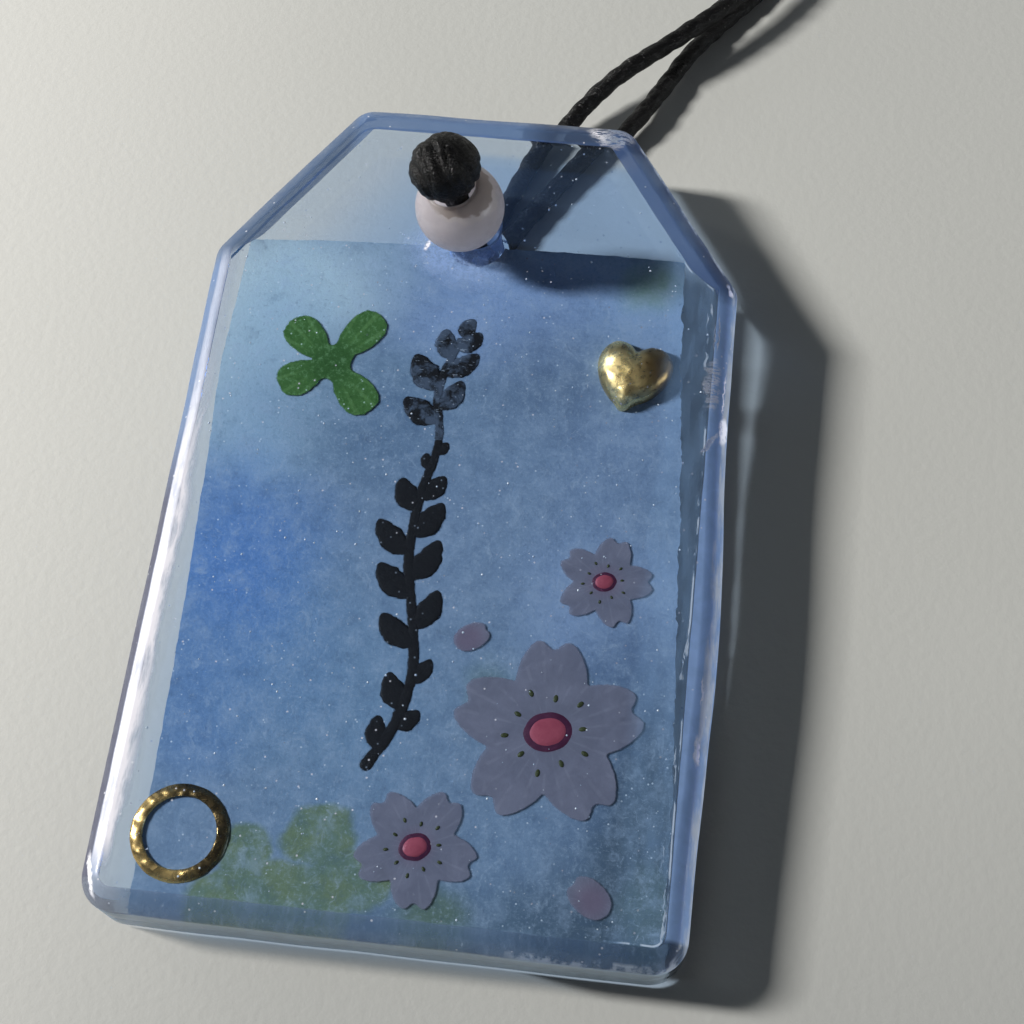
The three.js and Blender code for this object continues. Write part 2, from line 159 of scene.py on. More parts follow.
def most(first, *others):
    for other in others:
        first = calc("MAXIMUM", first, other)
    return first


def least(first, *others):
    for other in others:
        first = calc("MINIMUM", first, other)
    return first


def vector(operation, *values):
    output = "Value" if operation == "LENGTH" else "Vector"
    return node("VectorMath", dict(enumerate(values)), output, operation=operation)


def split(at):
    return [node("SeparateXYZ", {0: at}, axis) for axis in "XYZ"]


def flat_length(at):
    return vector("LENGTH", vector("MULTIPLY", at, (1, 1, 0)))


def blend(factor, first, second):
    return node("Mix", {0: factor, 6: first, 7: second}, 2, data_type="RGBA")


def layered(colour, *layers):
    """A colour under layers, each given by how far it covers and its shade."""
    for covers, shade in layers:
        colour = blend(covers, colour, shade)
    return colour


def mixed(factor, first, second):
    return node("MixShader", {0: factor, 1: first, 2: second})


def span(value, low, high, start=0.0, end=1.0):
    """A smooth step of a value from low to high."""
    inputs = {"Value": value, "From Min": low, "From Max": high, "To Min": start, "To Max": end}
    return node("MapRange", inputs, interpolation_type="SMOOTHSTEP")


def place():
    """Where a point is on its own piece, in millimetres."""
    return vector("MULTIPLY", node("TexCoord", output="Object"), (1000, 1000, 1000))


def stretched(at, scale, turn=0.0):
    return node("Mapping", {"Vector": at, "Rotation": (0, 0, turn), "Scale": scale})


def clouds(at, scale, detail=3.0, roughness=0.55, distortion=0.0):
    inputs = {"Vector": at, "Scale": scale, "Detail": detail, "Roughness": roughness}
    return node("TexNoise", {**inputs, "Distortion": distortion}, "Fac")


def cells(at, scale):
    return node("TexVoronoi", {"Vector": at, "Scale": scale}, "Distance")


def wobbled(at, scale, amount, detail=3.0):
    """A place moved about by noise, for edges of paint that aren't drawn with a ruler."""
    drift = node("TexNoise", {"Vector": at, "Scale": scale, "Detail": detail}, "Color")
    centred = vector("SUBTRACT", drift, (0.5, 0.5, 0.5))
    return vector("ADD", at, vector("MULTIPLY", centred, (amount, amount, 0)))


def patch(at, centre, radii, turn=0.0, soft=0.5):
    """1 inside an oval of the paper and 0 outside it, with a soft edge."""
    moved = vector("SUBTRACT", at, (centre[0], centre[1], 0))
    turned = node("VectorRotate", {"Vector": moved, "Angle": -turn}, rotation_type="Z_AXIS")
    scaled = vector("MULTIPLY", turned, (1 / radii[0], 1 / radii[1], 0))
    return span(vector("LENGTH", scaled), 1 + soft, 1 - soft)


def ray(kind):
    return node("LightPath", output=f"Is {kind} Ray")


def bump(height, distance, strength=1.0):
    return node("Bump", {"Height": height, "Distance": distance, "Strength": strength})


def principled(colour, roughness, normal=None, **more):
    """A Principled surface. The names of further inputs have _ where Blender has a space."""
    inputs = {"Base Color": colour, "Roughness": roughness}
    if normal is not None:
        inputs["Normal"] = normal
    inputs.update({name.replace("_", " "): value for name, value in more.items()})
    return node("BsdfPrincipled", inputs)


def material(name):
    """A new material, whose node tree is then the one in hand, and where a point of it is."""
    global tree
    made = bpy.data.materials.new(name)
    made.use_nodes = True
    tree = made.node_tree
    tree.nodes.clear()
    return made, place()


def show(surface, **volume):
    node("OutputMaterial", {"Surface": surface, **volume})


# Mesh helpers
def polar(radius, angle, x=0, y=0):
    return x + radius * math.cos(angle), y + radius * math.sin(angle)


def lump(*at):
    return noise.noise(Vector(at))


def add_object(name, mesh, space=None, smooth_angle=math.radians(40)):
    made = bpy.data.objects.new(name, mesh)
    bpy.context.scene.collection.objects.link(made)
    if space is not None:
        made.matrix_world = space
    mesh.polygons.foreach_set("use_smooth", [True] * len(mesh.polygons))
    if smooth_angle is not None:
        mesh.set_sharp_from_angle(angle=smooth_angle)
    return made


def piece(name, mesh, look, rides, slot, *solids, space=None, smooth_angle=math.radians(40)):
    """A piece with its look, the body that it rides on and the solids that it stands for; its slot is not
    used.
    """
    made = add_object(name, mesh, space, smooth_angle)
    made.data.materials.append(look)
    if rides:
        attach(made, rides)
    if solids:
        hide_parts(*solids)
    return made


def mesh_of(name, points, faces):
    mesh = bpy.data.meshes.new(name)
    mesh.from_pydata([tuple(c * MM for c in p) for p in points], [], faces)
    mesh.validate()
    mesh.update()
    return mesh


def ring_faces(count, rings, around=False):
    """Faces between rings of equally many points, each counter-clockwise, lowest first, and two caps."""
    faces = []
    for r in range(rings if around else rings - 1):
        low, high = r * count, (r + 1) % rings * count
        for i in range(count):
            after = (i + 1) % count
            faces.append((low + i, low + after, high + after, high + i))
    if not around:
        faces.append(tuple(reversed(range(count))))
        faces.append(tuple(range((rings - 1) * count, rings * count)))
    return faces


def rings_mesh(name, rings):
    return mesh_of(name, [p for ring in rings for p in ring], ring_faces(len(rings[0]), len(rings)))


def join_meshes(name, parts):
    """One mesh of many (points, faces) lists."""
    points, faces = [], []
    for some_points, some_faces in parts:
        start = len(points)
        points += some_points
        faces += [tuple(start + i for i in face) for face in some_faces]
    return mesh_of(name, points, faces)


def smooth_line(points, per_span, closed=False):
    """Points of a centripetal Catmull-Rom line through the given ones."""
    given = [np.array(p, float) for p in points]
    if closed:
        given = [given[-1]] + given + given[:2]
    else:
        given = [2 * given[0] - given[1]] + given + [2 * given[-1] - given[-2]]
    made = []
    for i in range(len(given) - 3):
        p0, p1, p2, p3 = given[i : i + 4]
        t1 = max(np.linalg.norm(p1 - p0), 1e-9) ** 0.5
        t2 = t1 + max(np.linalg.norm(p2 - p1), 1e-9) ** 0.5
        t3 = t2 + max(np.linalg.norm(p3 - p2), 1e-9) ** 0.5
        for k in range(per_span):
            t = t1 + (t2 - t1) * k / per_span
            a1 = p0 + (p1 - p0) * t / t1
            a2 = p1 + (p2 - p1) * (t - t1) / (t2 - t1)
            a3 = p2 + (p3 - p2) * (t - t2) / (t3 - t2)
            b1 = a1 + (a2 - a1) * t / t2
            b2 = a2 + (a3 - a2) * (t - t1) / (t3 - t1)
            made.append(b1 + (b2 - b1) * (t - t1) / (t2 - t1))
    if not closed:
        made.append(given[-2])
    return np.array(made)


def even_line(points, step):
    """The same line with points an even step apart."""
    gaps = np.linalg.norm(np.diff(points, axis=0), axis=1)
    along = np.concatenate([[0], np.cumsum(gaps)])
    count = max(2, int(round(along[-1] / step)))
    at = np.linspace(0, along[-1], count + 1)
    return np.stack([np.interp(at, along, points[:, k]) for k in range(3)], axis=1), at


def plied_tube(line, along, radius, pitch, sides=24, lobe=0.2, wander=0.04):
    """Points and faces of a twisted three-ply cord round a line."""
    tangents = np.gradient(line, axis=0)
    tangents /= np.linalg.norm(tangents, axis=1)[:, None]
    across = np.cross(tangents[0], (0.31, 0.17, 0.93))
    across /= np.linalg.norm(across)
    points = []
    for i, (centre, tangent) in enumerate(zip(line, tangents)):
        across = across - tangent * (across @ tangent)
        across /= np.linalg.norm(across)
        other = np.cross(tangent, across)
        swell = 1 + wander * lump(along[i] * 0.9, 0, 3.1) * 2
        for k in range(sides):
            angle = 2 * math.pi * k / sides
            turn = angle - 2 * math.pi * along[i] / pitch
            off = (turn % (2 * math.pi / 3)) - math.pi / 3
            reach = lobe * math.cos(off) + math.sqrt((1 - lobe) ** 2 - (lobe * math.sin(off)) ** 2)
            reach *= swell * (1 + 0.03 * lump(along[i] * 2.3, *polar(3, turn)))
            away = math.cos(angle) * across + math.sin(angle) * other
            points.append(tuple(centre + radius * reach * away))
    return points, ring_faces(sides, len(line))


def to_world(space, point):
    return tuple(c / MM for c in space @ Vector(tuple(v * MM for v in point)))


# Cord: from the knot down through bead and hole, round the open loop and back up
LOOP_ROUTE = [
    (-0.3, 0.43, 3.39), (-0.08, 0.7, 2.2), (0.35, 1.6, 1.18), (0.92, 2.95, 0.76), (1.55, 5.05, 0.7),
    (2.45, 7.65, 0.72), (3.6, 10.55, 0.9), (5.14, 13.65, 1.5), (8.1, 17.4, 2.35), (12.3, 21.15, 2.8),
    (15.3, 24.1, 2.9), (17.65, 26.8, 2.85), (19.8, 29.65, 2.6), (22.2, 32.75, 2), (24.9, 35.95, 1.25),
    (28, 39.45, 0.76), (30.5, 43.65, 0.68), (31.5, 48.65, 0.68), (29.9, 53.65, 0.68), (25.9, 57.25, 0.68),
    (20.7, 58.45, 0.68), (15.5, 56.95, 0.68), (11.8, 53.05, 0.68), (10.5, 47.85, 0.68), (11.6, 42.55, 0.68),
    (14.3, 37.85, 0.68), (17.1, 34.25, 0.68), (18.65, 31.1, 0.68), (18.3, 28.3, 0.7), (16.55, 25.95, 0.72),
    (13.7, 21.85, 0.85), (11.8, 18, 1.05), (10.2, 14.9, 1.2), (7.65, 11.05, 0.85), (4.3, 5.85, 0.7),
    (2.9, 3.55, 0.7), (1.95, 1.65, 0.78), (1.3, 0.3, 1.22), (0.88, -0.5, 2.25), (0.62, -0.81, 3.48),
]
strand_heights = (KNOT_HEIGHT - 0.6, 8, 6, 4, 2, 0.2)
strand_a = [to_world(HUNG_SPACE, (STRAND[0], STRAND[1], z)) for z in strand_heights]
strand_b = [to_world(HUNG_SPACE, (-STRAND[0], -STRAND[1], z)) for z in strand_heights]
# The route is given from the hole, with heights above the table
loop = [(x + HOLE[0], y + HOLE[1], z) for x, y, z in LOOP_ROUTE]
cord_line, cord_along = even_line(smooth_line(strand_a + loop + strand_b[::-1], 16), CORD_STEP)
cord_points, cord_faces = plied_tube(cord_line, cord_along, CORD_WIDTH / 2, CORD_PITCH)


def wax_material():
    made, at = material("waxed_cord")
    grain = clouds(at, 9, 4, 0.6)
    flecks = span(cells(at, 2.6), 0.2, 0.08)
    speck = flecks * span(clouds(at, 1.7, 2), 0.52, 0.62)
    threads = clouds(stretched(wobbled(at, 0.8, 1.2), (2.2, 6, 6), 1.0), 1.3, 3, 0.55)
    # Thin pale lines along the threads: scuffs of the wax, and painted sheen of the plies
    scuffs_and_sheen = span(abs(threads - 0.52), 0.014, 0.003) * span(clouds(at, 0.9, 3), 0.46, 0.6, 0.0, 0.7)
    base = blend(grain, (3, 3, 4), (11, 10, 11))
    colour = layered(base, (speck * 0.5, (120, 116, 112)), (scuffs_and_sheen, (96, 94, 94)))
    rough = span(clouds(at, 3, 3), 0.3, 0.7, 0.4, 0.65)
    normal = bump(grain + threads, 0.0002, 0.9)
    glossy = bump(threads, 0.0002, 0.7)
    coat = {"Coat_Weight": 0.35, "Coat_Roughness": 0.16, "Coat_Normal": glossy}
    show(principled(colour, rough, normal, Specular_IOR_Level=0.05, **coat))
    return made


wax = wax_material()
cord_mesh = mesh_of("waxed_cord", cord_points, cord_faces)
CORD_SOLIDS = ("cord_loop", "cord_strand_a", "cord_strand_b")
cord = piece("waxed_cord", cord_mesh, wax, None, "cord", *CORD_SOLIDS, smooth_angle=None)


# Bead with its bore and worn pearl coat, and the knot's shadow painted on it
def bead_mesh():
    steps, bends, round_steps = 96, 48, 5
    rim = math.asin((BEAD_BORE + BEAD_RIM) / BEAD_RADIUS)
    edge = BEAD_RADIUS * math.cos(rim)
    profile = []
    for k in range(bends + 1):
        angle = rim + (math.pi - 2 * rim) * k / bends
        profile.append((BEAD_RADIUS * math.sin(angle), -BEAD_RADIUS * math.cos(angle)))
    mouth = []
    for k in range(1, round_steps + 1):
        angle = math.pi / 2 * k / round_steps
        mouth.append((BEAD_BORE + BEAD_RIM * math.cos(angle), edge - BEAD_RIM * (1 - math.sin(angle)) ** 2))
    mouth.append((BEAD_BORE, edge - 2 * BEAD_RIM))
    profile += mouth + [(r, -z) for r, z in reversed(mouth)]
    profile.reverse()
    points = []
    for s in range(steps):
        turn = 2 * math.pi * s / steps
        points += [(*polar(r, turn), z) for r, z in profile]
    return mesh_of("pearl_bead", points, ring_faces(len(profile), steps, True))


def pearl_material():
    made, at = material("pearl_bead")
    wide = wobbled(at, 0.5, 1.4)
    swirl = clouds(stretched(wide, (0.5, 0.5, 1.6)), 0.9, 4, 0.6, 0.4)
    body = blend(swirl, (192, 184, 188), (216, 208, 210))
    x, _, z = split(at)
    ragged = vector("SUBTRACT", wobbled(at, 1.2, 0.75, 5), (0.42, -0.12, 0))
    axis_off = flat_length(ragged)
    upper = span(z, 0.2, 0.7)
    # The patch round the bore is wear of the pearl coat and also the knot's shadow, painted on the bead; it
    # darkens more on the side away from the window
    top = span(axis_off, 2.2, 2.08) * upper
    ridge = span(axis_off, 2.42, 2.3) * span(x, -1.6, 0.6)
    rim = ridge * upper
    colour = blend(rim * 0.8, body, (222, 212, 204))
    worn = blend(clouds(at, 1.4, 5, 0.65), (168, 154, 144), (206, 190, 180))
    shaded_side = span(x, -2.2, 0.3, 0.25, 0.95)
    colour = blend(top * shaded_side, colour, worn)
    rough = span(clouds(at, 2.2, 4), 0.3, 0.7, 0.2, 0.36) + top * 0.22
    grain = clouds(at, 2.2, 5, 0.6) + rim * -0.5
    below = {"Subsurface_Weight": 0.5, "Subsurface_Radius": (0.0022, 0.0018, 0.0017), "Subsurface_Scale": 1.0}
    normal = bump(grain, 0.00006, 0.5)
    shader = principled(colour, rough, normal, Coat_Weight=0.35, Coat_Roughness=0.12, **below)
    # Light goes through the bead and softens its far side
    inside = blend(swirl, (240, 235, 238), (250, 247, 248))
    inside = blend(top * (shaded_side * 0.85), inside, (172, 162, 156))
    glow = node("BsdfTranslucent", {"Color": inside})
    show(mixed(0.62, shader, glow))
    return made


bead_space = within(HUNG_SPACE, 0, 0, BEAD_HEIGHT)
bead = piece("pearl_bead", bead_mesh(), pearl_material(), "bead", "pearl", "bead", space=bead_space)


# Knot: the cord wound hard round itself, its plies pressed together
def knot_mesh():
    turns, reach_turn = 4, math.radians(150)
    mesh = bpy.data.meshes.new("wound_knot")
    grid = bmesh.new()
    bmesh.ops.create_icosphere(grid, subdivisions=6, radius=1.0)
    side_loop = Vector((0.78, 0.2, 0.6)).normalized()
    for v in grid.verts:
        d = v.co.normalized()
        drift = noise.noise(d * 1.6 + Vector((3.1, 0.4, 1.7)))
        latitude = math.asin(max(-1.0, min(1.0, d.x))) + 0.16 * drift
        turn = math.atan2(d.z, d.y)
        coil = latitude * turns / reach_turn - turn / (2 * math.pi)
        across = coil - round(coil)
        arch = 0.26 * (math.sqrt(max(0.0, 1 - (1.84 * across) ** 2)) - 1)
        slant = turn * 2.36 * math.cos(latitude) / 5.4
        ply = abs(math.cos(math.pi * (2.2 * across + 0.7 * slant + 0.5 * noise.noise(d * 1.7))))
        height = arch + 0.09 * (ply**0.7 - 1)
        # One loop lies over the turns on the side away from the window
        ring_angle = math.acos(max(-1.0, min(1.0, d.dot(side_loop)))) - 0.62 + 0.1 * drift
        over = 1 - (ring_angle / 0.27) ** 2
        if over > 0:
            ply = abs(math.cos(math.pi * (ring_angle * 5.2 + math.atan2(d.y, d.z) * 0.8)))
            height = max(height, 0.2 * (math.sqrt(over) - 1) + 0.09 * (ply**0.7 - 1) + 0.02)
        fine = 0.018 * noise.fractal(d * 9, 0.6, 2.1, 4)
        reach = 2.39 + height + fine
        v.co = Vector((d.x, d.y * 0.95, d.z * 0.93)) * reach * MM
    grid.to_mesh(mesh)
    grid.free()
    return mesh


knot_space = within(HUNG_SPACE, 0, 0, KNOT_HEIGHT - KNOT_SUNK, KNOT_TURN)
knot = piece(
    "wound_knot", knot_mesh(), wax, "cord_end", "cord", "end_knot", space=knot_space, smooth_angle=None
)

axis = (HUNG_SPACE.to_3x3() @ Vector((0, 0, 1))).normalized()
foot = Vector(to_world(HUNG_SPACE, (0, 0, 0))) * MM
tuple(foot + axis * 0.0026)
tuple(foot - axis * 0.0017)
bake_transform(cord)


# Outline of the tag, drawn in by an inset, counter-clockwise
def tag_outline(inset, steps=10):
    side, end, across = HALF_WIDE, HALF_TALL, HALF_WIDE - SHOULDER_ACROSS
    shoulder = end - SHOULDER_DOWN
    right_side = [(side, -end), (side, shoulder), (across, end)]
    corners = [(-side, -end)] + right_side + [(-across, end), (-side, shoulder)]
    points = []
    for i, corner in enumerate(corners):
        radius = CORNER_ROUND if i < 2 else SHOULDER_ROUND
        before, at, after = Vector(corners[i - 1]), Vector(corner), Vector(corners[(i + 1) % 6])
        inward, outward = (at - before).normalized(), (after - at).normalized()
        turn = math.atan2(inward.cross(outward), inward.dot(outward))
        normal = Vector((inward.y, -inward.x))
        centre = at - inward * radius * math.tan(turn / 2) - normal * radius
        first = math.atan2(normal.y, normal.x)
        for k in range(steps + 1):
            angle = first + turn * k / steps
            points.append(centre + Vector(polar(1, angle)) * (radius - inset))
    return points


def smooth_step(value, low, high):
    t = min(1.0, max(0.0, (value - low) / (high - low)))
    return t * t * (3 - 2 * t)


def resin_mesh():
    base = tag_outline(0)
    plain = []
    for i, p in enumerate(base):
        q = base[(i + 1) % len(base)]
        parts = max(1, math.ceil((q - p).length / 1.2))
        plain += [(i, k / parts) for k in range(parts)]

    def ring(inset, z):
        outline = tag_outline(inset)
        made = []
        for i, share in plain:
            p = outline[i].lerp(outline[(i + 1) % len(outline)], share)
            drift = lump(p.x * 0.22, p.y * 0.22, z * 0.12 + 5) * 0.07
            away = Vector((p.x, p.y)).normalized()
            out = SWELL * smooth_step(p.y, *SWELL_FROM) * smooth_step(p.y, *SWELL_TOP) if p.x > 9 else 0
            made.append((p.x + out - away.x * (0.05 + drift), p.y - away.y * (0.05 + drift), z))
        return made

    rings = []
    for k in range(5):
        angle = math.pi / 2 * k / 4
        rings.append(ring(BACK_ROUND * (1 - math.sin(angle)), BACK_ROUND * (1 - math.cos(angle))))
    # A faint groove runs where the two pours meet
    seam = [ring(0, SEAM_AT - 0.1), ring(0.045, SEAM_AT), ring(0, SEAM_AT + 0.1)]
    rings += [ring(0, 1.2), *seam, ring(0, 3.2)]
    # The front edge is a flat slant that turns softly into the side and the face
    for k in range(10):
        angle = math.pi / 2 * k / 9
        soft = SLANT_SOFT * math.sin(2 * angle)
        inset, drop = SLANT_WIDE * (1 - math.cos(angle)), SLANT_DEEP * (1 - math.sin(angle))
        rings.append(ring(inset + soft, TAG_THICK - drop - soft))
    return rings_mesh("cast_resin", rings)


def drill(name, high, low_radius, steps=64):
    """A drill that goes up into the hole, from below the tag's back."""
    ends = ((low_radius, -1), (DRILL_RADIUS, high))
    rings = [[(*polar(r, 2 * math.pi * k / steps, *HOLE), z) for k in range(steps)] for r, z in ends]
    return add_object(name, rings_mesh(name, rings), TAG_SPACE)


resin = add_object("cast_resin", resin_mesh(), TAG_SPACE, None)
drills = (drill("bore_tool", TAG_THICK + 1, DRILL_RADIUS), drill("mouth_tool", MOUTH_DEPTH, MOUTH_RADIUS))
for tool in drills:
    cut = resin.modifiers.new("cut", "BOOLEAN")
    cut.operation = "DIFFERENCE"
    cut.object = tool
    cut.solver = "EXACT"
bpy.context.view_layer.update()
carved = bpy.data.meshes.new_from_object(resin.evaluated_get(bpy.context.evaluated_depsgraph_get()))
resin.modifiers.clear()
resin.data = carved
for tool in drills:
    bpy.data.objects.remove(tool)
carved.polygons.foreach_set("use_smooth", [True] * len(carved.polygons))
carved.set_sharp_from_angle(angle=math.radians(35))
weighted = resin.modifiers.new("even_normals", "WEIGHTED_NORMAL")
weighted.keep_sharp = True


def edge_inset(at):
    """How far inside the tag's outline a point is, and its coordinates."""
    x, y, z = split(at)
    swell = span(y, *SWELL_FROM) * span(y, *SWELL_TOP) * span(x, 8, 10, 0, SWELL)
    from_side = HALF_WIDE + swell - abs(x)
    from_top = HALF_TALL - y
    slant = (HALF_TALL - SHOULDER_DOWN - y) * 0.558
    from_shoulder = from_side * 0.83 + slant
    mirrored = vector("MULTIPLY", vector("ABSOLUTE", at), (1, 0, 0))
    lower = vector("ADD", mirrored, vector("MULTIPLY", at, (0, -1, 0)))
    beyond = vector("SUBTRACT", lower, (HALF_WIDE - CORNER_ROUND, HALF_TALL - CORNER_ROUND, 0))
    past_corner = vector("LENGTH", vector("MAXIMUM", beyond, (0, 0, 0)))
    inner = calc("LESS_THAN", past_corner, 0.001) * 20
    from_corner = CORNER_ROUND - past_corner + inner
    return least(from_side, from_corner, from_top, from_shoulder), x, y, z


def resin_material():
    made, at = material("cast_resin")
    inset, x, y, z = edge_inset(wobbled(at, 0.35, 0.12, 2))
    ripple = clouds(at, 0.16, 2, 0.5)
    grain = clouds(at, 1.8, 3, 0.6)
    streaks = clouds(at, 0.9, 4, 0.6, 0.5)
    lengthways = clouds(stretched(at, (1, 0.2, 1)), 0.9, 4, 0.65)
    # The front edge: its slant, and the strip inside it at the top, painted slate blue as painted shade for
    # the shaded table seen deep through the resin
    front = span(z, 3.95, 4.2)
    edge = span(inset, 1.44, 1.34) * front
    reach = span(y, 15.0, 17.5, 1.4, 2.3)
    past = inset - reach
    painted_deep_strip = span(past, 0.05, -0.05) * front
    above = span(y, 14.5, 16.5)
    right = span(x, 7, 8.6)
    left = span(x, -14.5, -16) * (1 - above)
    foot = span(y, -26.9, -27.3)
    height = ripple + grain * 0.02 + streaks * edge * 0.25
    rough = span(clouds(at, 0.7, 3), 0.35, 0.75, 0.0, 0.03) + edge * 0.1
    clear = principled((1, 1, 1, 1), rough, bump(height, 0.00025, 0.5), IOR=1.5, Transmission_Weight=1.0)
    # The slant all round, matt with painted shade, and a painted highlight run down the left with a painted
    # dark line outside it
    painted_slant_shade = edge * span(streaks, 0.3, 0.7, 0.8, 0.94) * span(foot, 0, 1, 1, 0.72)
    upper_left_shade = span(x, -9.0, -10.2) * above
    cord_shade_behind = span(x, 1.5, 4.5) * above
    right_side_painted_shade = blend(edge, (64, 88, 132), blend(above, (148, 180, 228), (76, 100, 142)))
    highlight_length = span(y, 10, -4, 0.3, 1) * span(y, -27.2, -24.5, 0.15, 1)
    ragged = inset + (lengthways - 0.5) * 1.7
    painted_highlight_run = span(inset, 0.6, 0.76) * span(ragged, 2.3, 1.6) * front
    painted_highlight_run = painted_highlight_run * span(lengthways, 0.3, 0.52, 0.55, 1) * highlight_length * left
    outer = span(inset, 0.72, 0.6) * (left * span(y, 4, -4))
    # Painted light on the right: a rim highlight along the edge, a pale haze inside it for light reaching the
    # table there, and broken pale highlight lines
    painted_rim_light = right * span(inset, 0.5, 0.3) * span(z, 3.9, 4.1) * span(lengthways, 0.42, 0.6)
    side = span(x, 12.5, 15) * span(z, 5.2, 5.3)
    beside = side * span(past, -0.02, 0.08)
    painted_haze = beside * span(lengthways, 0.3, 0.7, 0.12, 0.3)
    crackle_pattern = clouds(stretched(wobbled(at, 0.5, 0.8), (3.2, 0.32, 1)), 0.8, 4, 0.7)
    broken_highlights = span(crackle_pattern, 0.56, 0.62) * span(inset, 2.3, 1.9) * beside * 0.55
    thin_highlight = span(abs(past - 0.1), 0.09, 0.03) * right * side * span(lengthways, 0.45, 0.55, 0, 0.7)
    painted_film = most(painted_haze, broken_highlights, thin_highlight, span(y, 18.4, 19.4, 0, 0.05) * span(past, 0.02, 0.3))
    # The lower wall, painted pale as painted light seen through it, the drilled hole, and a painted bluish
    # glow on the ground below the bead
    wall_below = span(y, -28.5, -28.75) * span(z, 4.35, 4.15)
    lower_wall_painted_light = wall_below * span(streaks, 0.3, 0.7, 0.78, 0.94)
    drilled = span(flat_length(vector("SUBTRACT", at, (*HOLE, 0))), 1.98, 1.9)
    painted_glow_below_bead = patch(wobbled(at, 0.7, 1.6, 4), (HOLE[0] - 0.9, HOLE[1] - 2.5), (3.3, 1.8), -0.3, 0.55)
    painted_glow_below_bead = painted_glow_below_bead * span(z, 5.2, 5.3) * span(clouds(at, 3.2, 5, 0.75), 0.36, 0.6, 0.3, 0.8)
    # A scraped corner and dust, and painted glints: white highlight marks on the right edge, by the bead and
    # at the lower left corner
    torn = wobbled(at, 1.6, 1.1, 5)
    corner = patch(torn, (8.3, 27.9), (1.5, 1.1), -0.25, 0.25)
    scratches = span(clouds(stretched(at, (1.2, 5, 1)), 1.1, 5, 0.7), 0.45, 0.52)
    glint_place = wobbled(at, 1.8, 0.5, 5)
    painted_glints = [
        ((17.7, 5.8), (0.28, 1.0), 0.0), ((17.5, 8.4), (0.05, 1.6), 0.0), ((17.55, -15.8), (0.2, 0.85), 0.05),
        ((17.62, -12), (0.07, 0.8), 0.0), ((16.86, 12.6), (0.05, 1.2), 0.0), ((16.6, 12.4), (0.04, 1.0), 0.0),
        ((16.85, 4.6), (0.14, 0.9), -0.5), ((-3.3, 17.6), (0.14, 0.4), -0.2),
        ((17.4, 16.2), (0.14, 0.5), 0.4), ((-17.2, -27.0), (0.16, 1.3), 0.3),
    ]
    lace_glint = patch(torn, (16.65, 8.8), (0.5, 1.7), 0.0, 0.3) * span(scratches, 0.2, 0.6)
    scrapes_dust_and_glints = most(corner * scratches, lace_glint * 0.7, *(patch(glint_place, *painted_glint, 0.3) for painted_glint in painted_glints))
    scrapes_dust_and_glints = scrapes_dust_and_glints * span(clouds(at, 3.4, 4, 0.7), 0.36, 0.46, 0.5, 1) * span(z, 4.0, 4.3)
    dust = span(cells(at, 1.15), 0.1, 0.06) * span(clouds(at, 0.7, 2), 0.4, 0.46)
    scrapes_dust_and_glints = most(scrapes_dust_and_glints, dust * 0.6)
    # How matt the resin is at each place, and the colours there: slate blues of painted shade, pale painted
    # light and glints, and real scrapes, dust and the drilled wall
    amount = most(painted_slant_shade, painted_deep_strip * above * 0.84, painted_highlight_run, painted_film, lower_wall_painted_light, drilled * 0.96, painted_glow_below_bead, scrapes_dust_and_glints)
    colour = layered(
        (92, 118, 158),
        (cord_shade_behind, (62, 80, 110)),
        (upper_left_shade, (68, 90, 122)),
        (right, right_side_painted_shade),
        (foot, (78, 102, 134)),
        (outer, (70, 70, 92)),
        (painted_highlight_run * 0.96, (244, 241, 248)),
        (painted_rim_light, (206, 216, 232)),
        (span(painted_film, 0, 0.1), (136, 174, 220)),
        (span(painted_film, 0.3, 0.6), (196, 214, 238)),
        (wall_below, (184, 205, 224)),
        (drilled, (124, 152, 202)),
        (span(painted_glow_below_bead, 0, 0.15), (138, 166, 212)),
        (scrapes_dust_and_glints, (248, 246, 252)),
    )
    facing = principled(colour, span(streaks, 0.3, 0.7, 0.34, 0.55))
    # The leaning normal turns these parts towards the window, so the painted slant and glints on the right
    # are lit from inside the resin
    leaning = vector("NORMALIZE", vector("ADD", node("NewGeometry", output="Normal"), (0.5, 0, -0.3)))
    lit_through = node("BsdfTranslucent", {"Color": colour, "Normal": leaning})
    glowing = most(right * edge * 0.42, drilled * 0.4, right * scrapes_dust_and_glints * 0.95)
    worn = mixed(amount, clear, mixed(glowing, facing, lit_through))
    # Lamp light passes the resin, but light that would run out through the far walls stays inside
    far_walls = most(span(x, 6, 9), span(y, -28.2, -28.6, 0, 0.5))
    wall = span(inset, 1.42, 1.36) * far_walls * span(z, 0.2, 0.45)
    wall = wall * (1 - node("NewGeometry", output="Backfacing"))
    through = node("BsdfTransparent", {"Color": blend(wall, (1, 1, 1, 1), (0.015, 0.018, 0.02, 1))})
    surface = mixed(most(ray("Shadow"), ray("Diffuse")), worn, through)
    tint = node("VolumeAbsorption", {"Color": RESIN_TINT, "Density": RESIN_DENSITY})
    show(surface, Volume=tint)
    return made


resin.data.materials.clear()
resin.data.materials.append(resin_material())
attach(resin, "tag")
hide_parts("resin_back_layer", "resin_front_layer")


